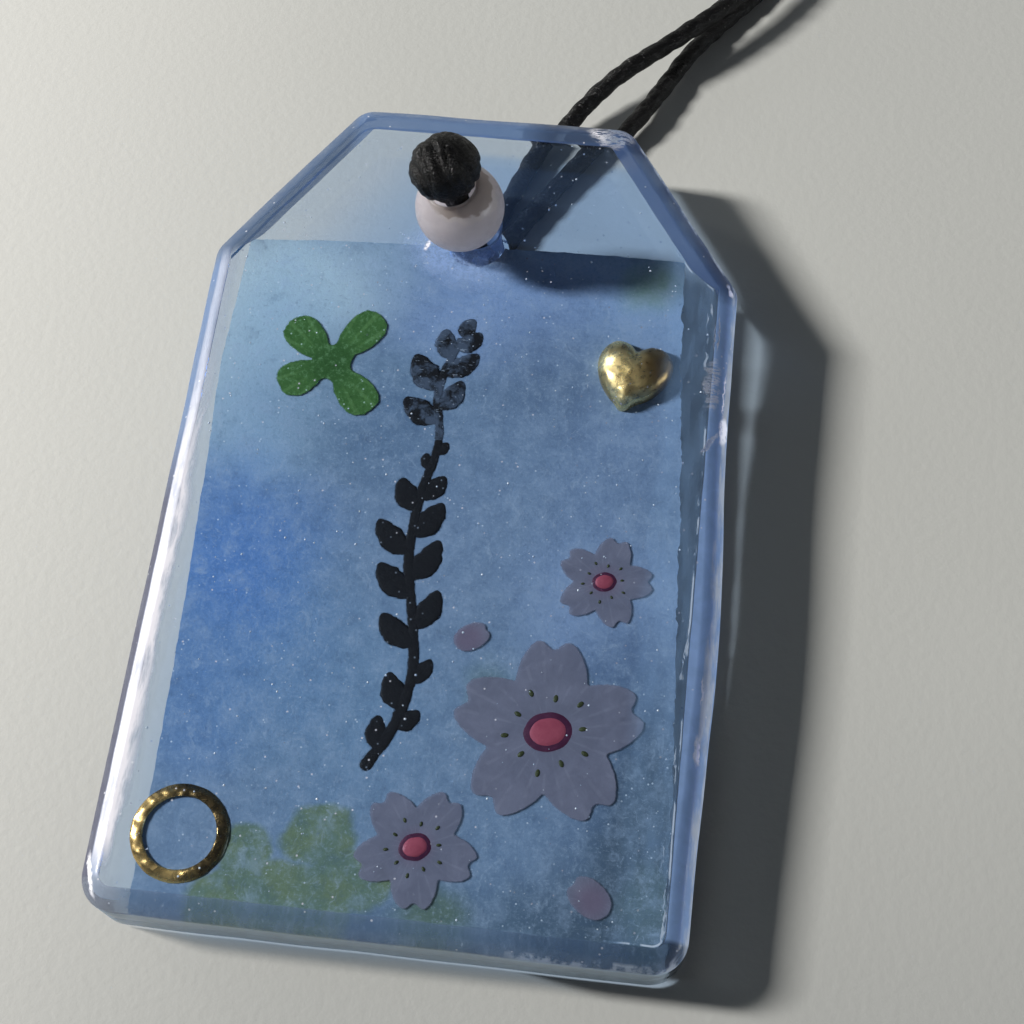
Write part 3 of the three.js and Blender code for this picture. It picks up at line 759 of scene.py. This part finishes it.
# Flat pieces inside the resin
def flat_mesh(name, outline, low, high, fringe=0.0):
    """A thin sheet; its "inner" attribute rises from 0 at the border to 1 a fringe inside it."""
    count = len(outline)
    outer = [(p[0], p[1]) for p in outline]
    rings = [[(*p, low) for p in outer], [(*p, high) for p in outer]]
    if fringe:
        inner = []
        for i in range(count):
            before, here, after = (Vector(outer[j]) for j in (i - 3, i, (i + 3) % count))
            along = (after - before).normalized()
            inner.append(here + Vector((-along.y, along.x)) * fringe)
        rings.append([(p.x, p.y, high) for p in inner])
    mesh = rings_mesh(name, rings)
    level = mesh.attributes.new("inner", "FLOAT", "POINT")
    level.data.foreach_set("value", [0.0] * (count * 2) + [1.0] * (count * (len(rings) - 2)))
    return mesh


def dissolved(at, low=0.12, high=0.5, spread=0.9):
    """How solid a cut-out or stroke is: it frays out towards its border."""
    inner = node("Attribute", output="Fac", attribute_name="inner")
    fray = (clouds(at, 3.4, 5, 0.7) - 0.5) * spread
    return span(inner + fray, low, high)


def paper_outline():
    """Torn rectangle with a notch punched round the hole."""
    sides = [
        [(-15.05, -28.05), (-8, -28.1), (0, -28.1), (8, -28.05), (16.5, -27.9)],
        [(16.5, -27.9), (16.35, -18), (15.9, -10), (15.35, 0), (14.95, 7.5), (14.45, 13), (14.25, 18.95)],
        [(14.25, 18.95), (8.35, 19.0), (1.8, 18.85)],
        [(-2.35, 18.65), (-10.8, 18.3), (-15.95, 17.9)],
        [(-15.95, 17.9), (-16.1, 13), (-16.25, 8), (-15.9, 1.6), (-15.45, -8), (-15.2, -16)]
        + [(-15.05, -28.05)],
    ]
    rough = [0.03, 0.16, 0.05, 0.05, 0.05]
    points = []
    for n, side in enumerate(sides):
        line, _ = even_line(smooth_line([(x, y, 0) for x, y in side], 10), 0.22)
        for p in line[:-1]:
            tear = noise.fractal(Vector((p[0] * 0.9, p[1] * 0.9, n)), 0.6, 2.2, 4) * rough[n]
            if n == 1 and 5 < p[1] < 12:
                tear += 0.22 * abs(lump(p[1] * 0.8, 2.2, 0))
            right = {1: -tear, 4: tear}.get(n, 0)
            points.append(Vector((p[0] + right, p[1] + (0 if n in (1, 4) else tear))))
        if n == 2:
            for k in range(25):
                angle = math.radians(-11) - math.radians(158) * k / 24
                points.append(Vector(polar(NOTCH_RADIUS, angle, *HOLE)))
    return points


def paper_material():
    made, at = material("washi_paper")
    soft = wobbled(at, 0.12, 7, 4)
    fine = wobbled(at, 0.5, 1.6, 5)
    colour = (130, 152, 175)
    paint = [
        (soft, (-13, 14.5), (7, 5), 0.2, 0.6, (206, 222, 224), 0.95),
        (soft, (-14, 8.5), (5.5, 7), 0.0, 0.6, (182, 205, 217), 0.85),
        (soft, (-14, 2.6), (4.5, 4), 0.0, 0.6, (162, 187, 205), 0.8),
        (soft, (-5, 5.5), (6, 5), 0.0, 0.6, (128, 152, 171), 0.7),
        (soft, (-3.5, 3.5), (4, 4), 0.1, 0.7, (98, 124, 152), 0.5),
        (soft, (4, 14.5), (8, 4.5), 0.0, 0.7, (155, 178, 214), 0.8),
        (soft, (13, 12.5), (4.5, 6), 0.0, 0.7, (163, 189, 220), 0.8),
        (soft, (-13, -8.5), (6, 8), 0.1, 0.6, (100, 144, 200), 0.9),
        (soft, (-14.5, -15.5), (4, 5), 0.0, 0.6, (111, 146, 186), 0.75),
        (soft, (-5, -14), (6, 8), 0.2, 0.7, (127, 159, 186), 0.6),
        (soft, (4, -2), (8, 7), 0.3, 0.7, (137, 157, 181), 0.6),
        (soft, (12, 4), (5, 8), 0.0, 0.6, (133, 153, 181), 0.6),
        (soft, (12, -7), (5, 5), 0.0, 0.6, (154, 175, 206), 0.7),
        (soft, (14, -15), (4, 7), 0.0, 0.6, (92, 114, 142), 0.7),
        (soft, (6, -28), (7, 2.6), 0.0, 0.6, (92, 113, 128), 0.8),
        (fine, (13.8, -26), (4.5, 4), 0.0, 0.7, (78, 94, 106), 0.8),
        (fine, (6.2, 9.4), (4.5, 4), 0.1, 0.8, (106, 126, 150), 0.6),
        (fine, (15.6, -22), (3.0, 8), 0.0, 0.6, (66, 82, 90), 0.85),
        (fine, (12.2, 16.8), (1.9, 1.6), 0.5, 0.7, (147, 173, 144), 0.75),
        (fine, (9.1, -13.9), (1.8, 2.4), 0.3, 0.7, (107, 131, 106), 0.8),
        (fine, (4.7, -13.5), (1.3, 2.1), 0.2, 0.7, (118, 140, 121), 0.6),
        (fine, (3.0, -26.9), (1.9, 1.4), 0.0, 0.6, (107, 127, 91), 0.7),
        (fine, (15.5, -25.0), (1.6, 2.2), 0.0, 0.6, (70, 90, 66), 0.7),
    ]
    for where, centre, radii, turn, edge, shade, amount in paint:
        colour = blend(patch(where, centre, radii, turn, edge) * amount, colour, shade)
    # Olive flower blot beside the ring
    lobes = [
        ((-4.4, -22.9), (2.3, 1.9), 0.3), ((-2.2, -25.4), (2.5, 2.0), 0.0), ((-7.9, -26.4), (2.9, 1.8), 0.4),
        ((-4.7, -26.6), (3.2, 1.9), 0.0), ((-8.6, -24.4), (1.7, 1.8), 0.0), ((-9.8, -27.0), (2.2, 1.5), 0.2),
    ]
    blot = most(*(patch(fine, *lobe, 0.16) for lobe in lobes))
    olive = blend(span(clouds(fine, 0.42, 4), 0.38, 0.62), (110, 132, 98), (122, 138, 82))
    colour = blend(blot * 0.85, colour, olive)
    # Mottling, fine pale fibres and specks of the sheet
    mottle = clouds(at, 0.7, 6, 0.72)
    grit = clouds(at, 4.5, 5, 0.75)
    wisps = clouds(stretched(wobbled(at, 0.4, 3), (1.4, 0.6, 1), 0.5), 0.9, 6, 0.75, 0.8)
    for pattern, low, high, most_of_it, shade in (
        (mottle, 0.44, 0.72, 0.42, (176, 192, 210)),
        (mottle, 0.5, 0.28, 0.32, (82, 104, 134)),
        (grit, 0.52, 0.7, 0.4, (184, 198, 214)),
        (grit, 0.46, 0.3, 0.34, (86, 104, 130)),
        (wisps, 0.54, 0.7, 0.36, (188, 202, 216)),
    ):
        colour = blend(span(pattern, low, high, 0, most_of_it), colour, shade)
    fibre = span(clouds(stretched(wobbled(at, 0.8, 1.5), (0.7, 6, 1), 0.9), 2.1, 3, 0.7, 0.6), 0.62, 0.7)
    specks = span(cells(at, 1.6), 0.12, 0.06) * span(clouds(at, 0.9, 2), 0.46, 0.54) * 0.75
    colour = layered(colour, (fibre * 0.26, (206, 216, 224)), (specks, (232, 238, 242)))
    height = mottle + grit * 0.35
    rough = span(mottle, 0.3, 0.7, 0.6, 0.85)
    shader = principled(colour, rough, bump(height, 0.00009, 0.7), Specular_IOR_Level=0.12)
    # Thin washi: some light goes through to the table
    under = span(split(at)[2], 2.42, 2.38, 0.2, 0.9)
    glow = node("BsdfTranslucent", {"Color": colour})
    show(mixed(under, shader, glow))
    return made


paper_mesh = flat_mesh("washi_paper", paper_outline(), PAPER_LOW, PAPER_HIGH)
piece("washi_paper", paper_mesh, paper_material(), "tag", "paper", "paper_insert", space=TAG_SPACE)


# Ink branch: one long bent stem with pointed leaves, its upper part washed to grey
def stroke(points, widths, seed, height=0.035, low=PAPER_HIGH, ragged=0.06):
    """Points, faces and border levels of a domed brush stroke with an uneven edge."""
    line, along = even_line(smooth_line([(x, y, 0) for x, y in points], 10), 0.12)
    shares = along / along[-1]
    across_steps = 8
    made, levels = [], []
    for i, p in enumerate(line):
        ahead_point, behind = line[min(i + 1, len(line) - 1)], line[max(i - 1, 0)]
        direction = Vector((ahead_point[0] - behind[0], ahead_point[1] - behind[1])).normalized()
        normal = Vector((-direction.y, direction.x))
        width = float(np.interp(shares[i], np.linspace(0, 1, len(widths)), widths)) + 0.16
        from_end = min(along[i], along[-1] - along[i]) / (0.5 * width)
        cap = max(0.12, math.sqrt(1 - (1 - from_end) ** 2) if from_end < 1 else 1.0)
        for k in range(across_steps, -1, -1):
            u = 2 * k / across_steps - 1
            edge = ragged * noise.fractal(Vector((along[i] * 1.6, u * 0.8 + seed, seed * 3.7)), 0.6, 2.1, 3)
            half = (width / 2) * cap * (1 + edge * 2.2)
            lumps = 1 + 0.5 * lump(p[0] * 1.7, p[1] * 1.7, seed)
            z = low + height * cap * (1 - u * u) ** 0.5 * lumps
            made.append((p[0] + normal.x * half * u, p[1] + normal.y * half * u, z))
            levels.append(min(1.0, (1 - abs(u)) * half / 0.22, from_end * width / 0.44))
    return made, ring_faces(across_steps + 1, len(line)), levels


STEM = [
    (-2.5, -18.7), (-0.9, -15.6), (-0.3, -12), (-0.8, -8.6), (-1.6, -4.6), (-1.5, -0.4), (-0.8, 3.6),
    (-1.3, 7.6), (-0.3, 11.6),
]
# Leaves by the stem's height, the side, the length, the width and how far they lean out
LEAVES = [
    (-17.4, 1, 2.3, 1.0, 50), (-15.9, -1, 1.9, 1.0, 46), (-14.6, 1, 2.6, 1.2, 54), (-12.8, -1, 2.0, 1.0, 44),
    (-10.4, 1, 3.1, 1.3, 56), (-9.4, -1, 3.0, 1.25, 52), (-7.4, 1, 3.2, 1.4, 50), (-6.2, -1, 3.3, 1.35, 56),
    (-4.4, 1, 3.2, 1.35, 58), (-3.2, -1, 3.1, 1.35, 50), (-1.4, 1, 2.6, 1.2, 48), (-0.4, -1, 2.3, 1.1, 50),
    (1.6, 1, 1.3, 0.7, 44), (2.9, -1, 1.2, 0.6, 44), (5.2, 1, 3.0, 1.4, 62), (6.0, -1, 2.7, 1.25, 56),
    (7.6, 1, 3.2, 1.5, 54), (8.6, -1, 2.8, 1.3, 54), (9.8, 1, 2.4, 1.2, 46), (10.8, -1, 2.1, 1.1, 48),
    (11.5, 1, 1.7, 0.9, 2),
]
WASHED_FROM = 4.4
LEAF_SHARES = (0.2, 0.62, 0.95, 1.0, 0.86, 0.58, 0.2)


def ink_strokes():
    """The stem and the leaves as brush strokes, each with whether it is washed out."""
    line, _ = even_line(smooth_line([(x, y, 0) for x, y in STEM], 12), 0.3)
    i = int(np.argmin(abs(line[:, 1] - WASHED_FROM)))
    made = [(line[: i + 2 : 3, :2], (0.75, 0.6, 0.62, 0.5), False)]
    made.append((line[i - 2 :: 3, :2], (0.5, 0.55, 0.45), True))
    for height, side, long, wide, lean in LEAVES:
        i = int(np.argmin(abs(line[:, 1] - height)))
        before, after = line[max(i - 1, 0)], line[min(i + 1, len(line) - 1)]
        stem_turn = math.atan2(after[1] - before[1], after[0] - before[0])
        start = stem_turn + side * math.radians(lean)
        points = []
        for k in range(7):
            turn = start - side * math.radians(16) * k / 6
            points.append(polar(long * k / 6, turn, *line[i][:2]))
        made.append((points, [1.25 * wide * share for share in LEAF_SHARES], height > WASHED_FROM))
    return made


def ink_material(faded):
    made, at = material("faded_ink" if faded else "ink")
    grain = clouds(at, 3.2, 5, 0.65)
    colour = blend(grain, (7, 7, 9), (22, 22, 25))
    if faded:
        washed = span(clouds(wobbled(at, 0.6, 1.5), 0.7, 5, 0.65), 0.42, 0.58) * 0.85
        marks = span(clouds(stretched(at, (0.9, 4, 1), 0.9), 1.6, 4, 0.7), 0.62, 0.68) * 0.7
        colour = layered(colour, (washed, (78, 88, 102)), (marks, (176, 184, 192)))
    specks = span(cells(at, 1.6), 0.13, 0.05) * 0.65
    colour = blend(specks, colour, (150, 156, 165))
    rough = span(grain, 0.3, 0.7, 0.5, 0.8)
    show(principled(colour, rough, bump(grain, 0.00006, 0.6), Specular_IOR_Level=0.12, Alpha=dissolved(at)))
    return made


all_strokes = ink_strokes()
for name, faded in (("ink_branch", False), ("ink_branch_washed", True)):
    chosen = [(points, widths) for points, widths, washed in all_strokes if washed == faded]
    parts = [stroke(points, widths, 1.7 * i + 0.4) for i, (points, widths) in enumerate(chosen)]
    branch = join_meshes(name, [part[:2] for part in parts])
    level = branch.attributes.new("inner", "FLOAT", "POINT")
    level.data.foreach_set("value", [value for part in parts for value in part[2]])
    piece(name, branch, ink_material(faded), "tag", "paper", space=TAG_SPACE, smooth_angle=None)


# Cut-outs: clover, blossoms and petals
def leaf_reach(angle, reach, waist, half_width):
    long = (reach + waist) / 2
    middle = reach - long
    a = (math.cos(angle) / long) ** 2 + (math.sin(angle) / half_width) ** 2
    b = middle * math.cos(angle) / long**2
    c = (middle / long) ** 2 - 1
    return (b + math.sqrt(b * b - a * c)) / a


def clover_outline():
    """Four paddle-shaped leaves, drawn up one side of each and down the other."""
    turns = [math.radians(t) for t in (55, 137, 213, 313)]
    shares = (1.12, 1, 0.88, 1.05)
    profile = [
        (1.16, 0.86), (1.7, 1.1), (2.3, 1.28), (3.0, 1.36), (3.6, 1.3), (4.05, 1.04), (4.32, 0.62),
        (4.42, 0.2),
    ]
    points = []
    for axis_turn, share in zip(turns, shares):
        along = Vector(polar(1, axis_turn))
        across = Vector((-along.y, along.x))
        points += [along * far * share - across * half for far, half in profile]
        points += [along * far * share + across * half for far, half in reversed(profile)]
    line, _ = even_line(smooth_line([(p.x, p.y, 0) for p in points], 8, True), 0.12)
    made = []
    for p in line[:-1]:
        fray = 0.09 * noise.fractal(Vector((p[0] * 1.5, p[1] * 1.5, 0.4)), 0.6, 2.2, 5)
        made.append(Vector((p[0], p[1])) * (1 + fray / max(1.0, math.hypot(p[0], p[1]))))
    return made


def blossom_outline(reach, seed):
    half, steps, points = math.pi / 5, 44, []
    for i in range(5 * steps):
        axis_turn = 2 * half * (i // steps)
        angle = (((i % steps) + 0.5) / steps - 0.5) * 2 * half
        r = leaf_reach(angle, reach, reach * 0.02, reach * 0.36)
        r -= reach * 0.15 * math.exp(-((angle / math.radians(6.5)) ** 2))
        r *= 1 + 0.012 * lump(seed, i * 0.12, 0)
        points.append(Vector(polar(r, axis_turn + angle)))
    return points


def petal_outline(reach):
    steps, points = 64, []
    for i in range(steps):
        angle = 2 * math.pi * i / steps
        taper = 1 - 0.32 * math.sin(angle / 2) ** 6
        notch = 0.15 * math.exp(-((math.sin(angle / 2) / 0.13) ** 2))
        r = reach * (0.72 + 0.28 * math.cos(angle) ** 2) * (taper - notch)
        points.append(Vector((math.cos(angle) * r, math.sin(angle) * r * 0.86)))
    return points


def leaf_material():
    made, at = material("clover_leaf")
    x, y, _ = split(at)
    radius = flat_length(wobbled(at, 0.8, 0.8))
    veins = clouds(at, 1.3, 6, 0.7)
    ribs = abs(calc("SINE", calc("ARCTAN2", y, x) * 11.0))
    ribs = span(ribs, 0.86, 1.0) * span(radius, 1.2, 3.5)
    mottle = clouds(at, 3.2, 5, 0.72)
    flecks = span(cells(at, 1.7), 0.14, 0.06)
    colour = layered(
        blend(veins, (42, 80, 32), (78, 118, 58)),
        (span(radius, 2.6, 0.6) * 0.6, (36, 74, 30)),
        (ribs * 0.3, (112, 150, 88)),
        (span(mottle, 0.5, 0.68, 0.0, 0.45), (120, 160, 108)),
        (span(mottle, 0.46, 0.3, 0.0, 0.45), (28, 64, 24)),
        (flecks * 0.7, (186, 208, 186)),
    )
    rough = span(veins, 0.3, 0.7, 0.5, 0.75)
    solid = dissolved(at, 0.1, 0.75)
    show(principled(colour, rough, bump(veins, 0.0001, 0.6), Specular_IOR_Level=0.12, Alpha=solid))
    return made


def lilac_material():
    made, at = material("lilac_cutout")
    radius = flat_length(at)
    x, y, _ = split(at)
    grain = clouds(wobbled(at, 0.4, 2), 0.5, 6, 0.65)
    ribs = abs(calc("SINE", calc("ARCTAN2", y, x) * 12.5))
    ribs = span(ribs, 0.9, 1.0) * span(clouds(at, 1.2, 3), 0.4, 0.6)
    middle = span(radius, 1.6, 0.3, 0.0, 0.35)
    base = blend(grain, (108, 106, 120), (132, 130, 142))
    colour = layered(base, (ribs * 0.22, (154, 150, 160)), (middle, (128, 88, 108)))
    solid = span(grain, 0.3, 0.7, 0.8, 0.94) * dissolved(at, 0.0, 0.6)
    show(principled(colour, 0.62, bump(grain, 0.00008, 0.6), Specular_IOR_Level=0.12, Alpha=solid))
    return made


lilac = lilac_material()
cutouts = [("clover_cutout", (-8.8, 8.8), 0.0, clover_outline(), leaf_material(), "leaf_paper")]
# The lilac pieces by their shares of the width that the cut-outs lie in, from its lower right corner
FREE_WIDTH, FREE_CORNER = 31.2, (15.7, -27.3)
for solid, aside, up, share, turn in (
    ("blossom_large", 0.231, 0.391, 0.202, 0.35),
    ("blossom_medium", 0.458, 0.138, 0.128, 1.05),
    ("blossom_small", 0.151, 0.715, 0.106, 0.1),
    ("petal_upper", 0.41, 0.567, 0.048, 0.6),
    ("petal_lower", 0.112, 0.074, 0.058, 2.5),
):
    at = (FREE_CORNER[0] - aside * FREE_WIDTH, FREE_CORNER[1] + up * FREE_WIDTH)
    reach = share * FREE_WIDTH
    outline = petal_outline(reach) if "petal" in solid else blossom_outline(reach, share * 9)
    cutouts.append((solid, at, turn, outline, lilac, "lilac_paper"))
for solid, (x, y), turn, outline, look, slot in cutouts:
    name = "clover_leaf" if slot == "leaf_paper" else solid + "_paper"
    mesh = flat_mesh(name, outline, CUT_LOW, CUT_HIGH, 0.2)
    piece(name, mesh, look, "tag", slot, solid, space=within(TAG_SPACE, x, y, 0, turn))


# Hearts of the blossoms: dusty red ovals with a maroon edge, and dark olive stamens
def oval(x, y, across, tall, turn, low, height, steps=36):
    rings = []
    for k in range(5):
        climb = math.pi / 2 * k / 4 * 0.97
        spread, z = math.cos(climb), low + height * math.sin(climb)
        ring = []
        for i in range(steps):
            angle = 2 * math.pi * i / steps
            r = spread * (1 + 0.05 * lump(*polar(2, angle, x, y), 0))
            u, v = across / 2 * r * math.cos(angle), tall / 2 * r * math.sin(angle)
            side_x, side_y = polar(v, turn + math.pi / 2, x, y)
            ring.append((*polar(u, turn, side_x, side_y), z))
        rings.append(ring)
    return [p for ring in rings for p in ring], ring_faces(steps, len(rings))


def dab_material(name, low, high):
    made, at = material(name)
    grain = clouds(at, 1.6, 5, 0.65)
    colour = blend(grain, low, high)
    rough = span(grain, 0.3, 0.7, 0.35, 0.6)
    show(principled(colour, rough, bump(grain, 0.00008, 0.5), Specular_IOR_Level=0.2))
    return made


blossom_places = [(8.49, -15.1, 1.0), (1.41, -22.99, 0.66), (10.99, -4.99, 0.52)]
maroon, red, stamens = [], [], []
for x, y, size in blossom_places:
    maroon.append(oval(x, y, 3.0 * size, 2.5 * size, 0.3, CUT_HIGH, 0.05))
    red.append(oval(x, y, 2.35 * size, 1.85 * size, 0.3, CUT_HIGH, 0.11))
    for k in range(10):
        angle = 2 * math.pi * (k + 0.3) / 10
        out = (2.15 + 0.5 * (k % 2)) * size
        stamens.append(oval(*polar(out, angle, x, y), 0.5 * size, 0.3 * size, angle, CUT_HIGH, 0.06, 14))
for name, parts, low, high in (
    ("blossom_rims", maroon, (58, 22, 46), (84, 34, 58)),
    ("blossom_hearts", red, (138, 56, 72), (172, 80, 92)),
    ("blossom_stamens", stamens, (36, 40, 24), (72, 76, 40)),
):
    look = dab_material(name, low, high)
    piece(name, join_meshes(name, parts), look, "tag", "lilac_paper", space=TAG_SPACE)


# Gold heart and ring
HEART = [
    (-0.012, 0.394), (-0.147, 0.481), (-0.322, 0.49), (-0.463, 0.339), (-0.5, 0.124), (-0.409, -0.139),
    (-0.263, -0.326), (-0.139, -0.434), (-0.059, -0.5), (0.024, -0.482), (0.106, -0.391), (0.257, -0.287),
    (0.419, -0.088), (0.5, 0.153), (0.477, 0.339), (0.352, 0.471), (0.184, 0.5), (0.055, 0.438),
]


def heart_mesh():
    base = smooth_line([(x * HEART_ACROSS, y * HEART_ACROSS, 0) for x, y in HEART], 5, True)
    rings = []
    for k in range(19):
        climb = math.pi / 2 * k / 18 * 0.985
        spread = math.cos(climb) ** 0.58
        ring = []
        for p in base:
            x, y = p[0] * spread, p[1] * spread
            dent = 0.16 * lump(x * 0.7, y * 0.7, 4.4) * math.sin(climb)
            ring.append((x, y, HEART_LOW + HEART_DOME * math.sin(climb) + dent))
        rings.append(ring)
    rings.insert(0, [(x, y, HEART_FOOT) for x, y, _ in rings[0]])
    return rings_mesh("gold_heart", rings)


def ring_mesh():
    """A flat ring, highest at its inner edge, with a hammered outer slope."""
    steps = 200
    section = [
        (2.245, 0.0), (2.24, 0.06), (2.245, 0.27), (2.28, 0.33), (2.35, 0.35), (2.5, 0.34), (2.66, 0.3),
        (2.8, 0.24), (2.92, 0.16), (2.99, 0.09), (3.02, 0.03), (3.0, 0.0),
    ]
    points = []
    count = len(section)
    for s in range(steps):
        turn = 2 * math.pi * s / steps
        for k, (r, z) in enumerate(section):
            dent = 0.04 * lump(*polar(5.5, turn), k * 0.35)
            top = 1 if 1 < k < count - 2 else 0
            points.append((*polar(r + dent * 0.4, turn), RING_LOW + 0.7 * z + dent * top))
    return mesh_of("gold_ring", points, ring_faces(count, steps, True))


def gold_material(name, dents, slope, bright, shaded_colour, low, high, rough):
    """Gold with dents a given number to the millimetre, darkened towards the side away from the window by
    painted shade and by tarnish.
    """
    made, at = material(name)
    x, y, _ = split(wobbled(at, 0.8, 1.4, 4))
    along = x * 0.8 + y * 0.35
    tarnish = span(clouds(at, 0.9, 2.5, 0.5, 0.6), 0.4, 0.6)
    tarnish_and_shade = most(span(along, low, high), tarnish * 0.6)
    colour = blend(tarnish_and_shade * 0.88, bright, shaded_colour)
    matt = span(clouds(at, 3, 3), 0.3, 0.7, rough, rough + 0.12) + tarnish_and_shade * 0.05
    show(principled(colour, matt, bump(clouds(at, dents, 1.2, 0.5, 0.3), slope, 0.7), Metallic=0.92))
    return made


heart_gold = gold_material("heart_gold", 0.8, 0.00018, (255, 226, 156), (116, 82, 38), -0.5, 1.4, 0.22)
ring_gold = gold_material("ring_gold", 0.9, 0.0003, (255, 206, 126), (50, 40, 28), -0.9, 0.9, 0.18)
heart_space = within(TAG_SPACE, 11.45, 9.6, 0, math.radians(-8))
ring_space = within(TAG_SPACE, -12.8, -23.7)
for name, mesh, space, node_name, look in (
    ("gold_heart", heart_mesh(), heart_space, "heart_charm", heart_gold),
    ("gold_ring", ring_mesh(), ring_space, "ring_charm", ring_gold),
):
    piece(name, mesh, look, "tag", "gold", node_name, space=space)


# Bubbles caught in the resin
def ball(x, y, z, radius, lat=6, lon=8):
    points = [(x, y, z - radius)]
    for i in range(1, lat):
        angle = math.pi * i / lat
        for k in range(lon):
            turn = 2 * math.pi * k / lon
            points.append((*polar(radius * math.sin(angle), turn, x, y), z - radius * math.cos(angle)))
    points.append((x, y, z + radius))
    top = len(points) - 1
    faces = [(0, 1 + (k + 1) % lon, 1 + k) for k in range(lon)]
    for i in range(lat - 2):
        for k in range(lon):
            a, b = 1 + i * lon + k, 1 + i * lon + (k + 1) % lon
            faces.append((a, b, b + lon, a + lon))
    last = 1 + (lat - 2) * lon
    faces += [(last + k, last + (k + 1) % lon, top) for k in range(lon)]
    return points, faces


def inside_tag(x, y, margin):
    wide, tall = HALF_WIDE - margin, HALF_TALL - margin
    shoulder = (tall - y) / SHOULDER_DOWN * SHOULDER_ACROSS + (wide - SHOULDER_ACROSS)
    return abs(x) < min(wide, shoulder) and abs(y) < tall


def bubble_material():
    made, at = material("bubbles")
    # The pale colour stands in for the bubbles' glints: painted highlight
    glint = span(clouds(at, 4, 3), 0.35, 0.7)
    show(principled(blend(glint, (168, 184, 204), (236, 240, 244)), 0.18, Specular_IOR_Level=0.9))
    return made


dice = random.Random(SEED)
parts = []
while len(parts) < BUBBLES:
    x, y = dice.uniform(-17, 17), dice.uniform(-28, 28)
    if inside_tag(x, y, 1.4) and math.hypot(x - HOLE[0], y - HOLE[1]) > 2.4:
        z, radius = dice.uniform(BUBBLE_LOW, BUBBLE_HIGH), 0.03 + 0.055 * dice.random() ** 3
        parts.append(ball(x, y, z, radius))
bubbles = join_meshes("resin_bubbles", parts)
piece("resin_bubbles", bubbles, bubble_material(), "tag", "resin", space=TAG_SPACE, smooth_angle=None)


# Table, lamps and world
def seen_background():
    """1 for the rays that show the background: to the camera, in a reflection or through the resin."""
    return most(ray("Camera"), ray("Glossy"), ray("Transmission"))


def floor_material():
    made, at = material("table")
    shade = clouds(at, 0.02, 3)
    x, y, _ = split(at)
    # Painted light and shade: the table darker towards the front and paler towards the window side
    painted_falloff, beside = span(y, 5, -50, 0.0, 0.6), span(x, 0, -45, 0.0, 0.6)
    base = blend(shade, (192, 192, 187), (203, 203, 198))
    colour = layered(base, (painted_falloff, (158, 159, 157)), (beside, (222, 220, 214)))
    shader = principled(colour, 0.7, bump(clouds(at, 1.5, 4), 0.00008, 0.4))
    # Far from the object the table runs into the pale backdrop that the world shows
    away = flat_length(at)
    backdrop = node("Emission", {"Color": BACKDROP, "Strength": 1.0})
    seen = span(away, 110, 270) * seen_background()
    show(mixed(seen, shader, backdrop))
    return made


corners = [(-900, -900, 0), (900, -900, 0), (900, 900, 0), (-900, 900, 0)]
floor = add_object("table", mesh_of("table", corners, [(0, 1, 2, 3)]), smooth_angle=None)
floor.data.materials.append(floor_material())


def area_lamp(name, at, width, height, power, colour):
    """A lamp that looks at the middle of the frame."""
    lamp = bpy.data.lights.new(name, "AREA")
    lamp.shape = "RECTANGLE"
    lamp.size = width
    lamp.size_y = height
    lamp.energy = power
    lamp.color = colour
    made = bpy.data.objects.new(name, lamp)
    bpy.context.scene.collection.objects.link(made)
    made.location = at
    made.rotation_euler = (-Vector(at)).to_track_quat("-Z", "Y").to_euler()


area_lamp("window", (-0.44, 0.035, 0.35), 0.055, 0.11, 4.08, (1.0, 0.99, 0.965))
area_lamp("fill", (0.6, -0.05, 0.052), 0.3, 0.09, 0.8, (0.9, 0.95, 1.0))
area_lamp("far_window", (-0.5, 0.26, 0.2), 0.05, 0.2, 0.35, (0.94, 0.97, 1.0))

world = bpy.data.worlds.new("studio")
bpy.context.scene.world = world
world.use_nodes = True
tree = world.node_tree
tree.nodes.clear()
x, _, z = split(node("TexCoord", output="Generated"))
side = span(x, 0.7, -0.9)
sky = blend(side, (0.017, 0.019, 0.023, 1), (0.12, 0.132, 0.145, 1))
low = span(z, 0.5, 0.15) * seen_background()
sky = blend(low, sky, BACKDROP)
background = node("Background", {"Color": sky, "Strength": 1.0})
node("OutputWorld", {"Surface": background})

bpy.context.scene.view_settings.view_transform = "Standard"
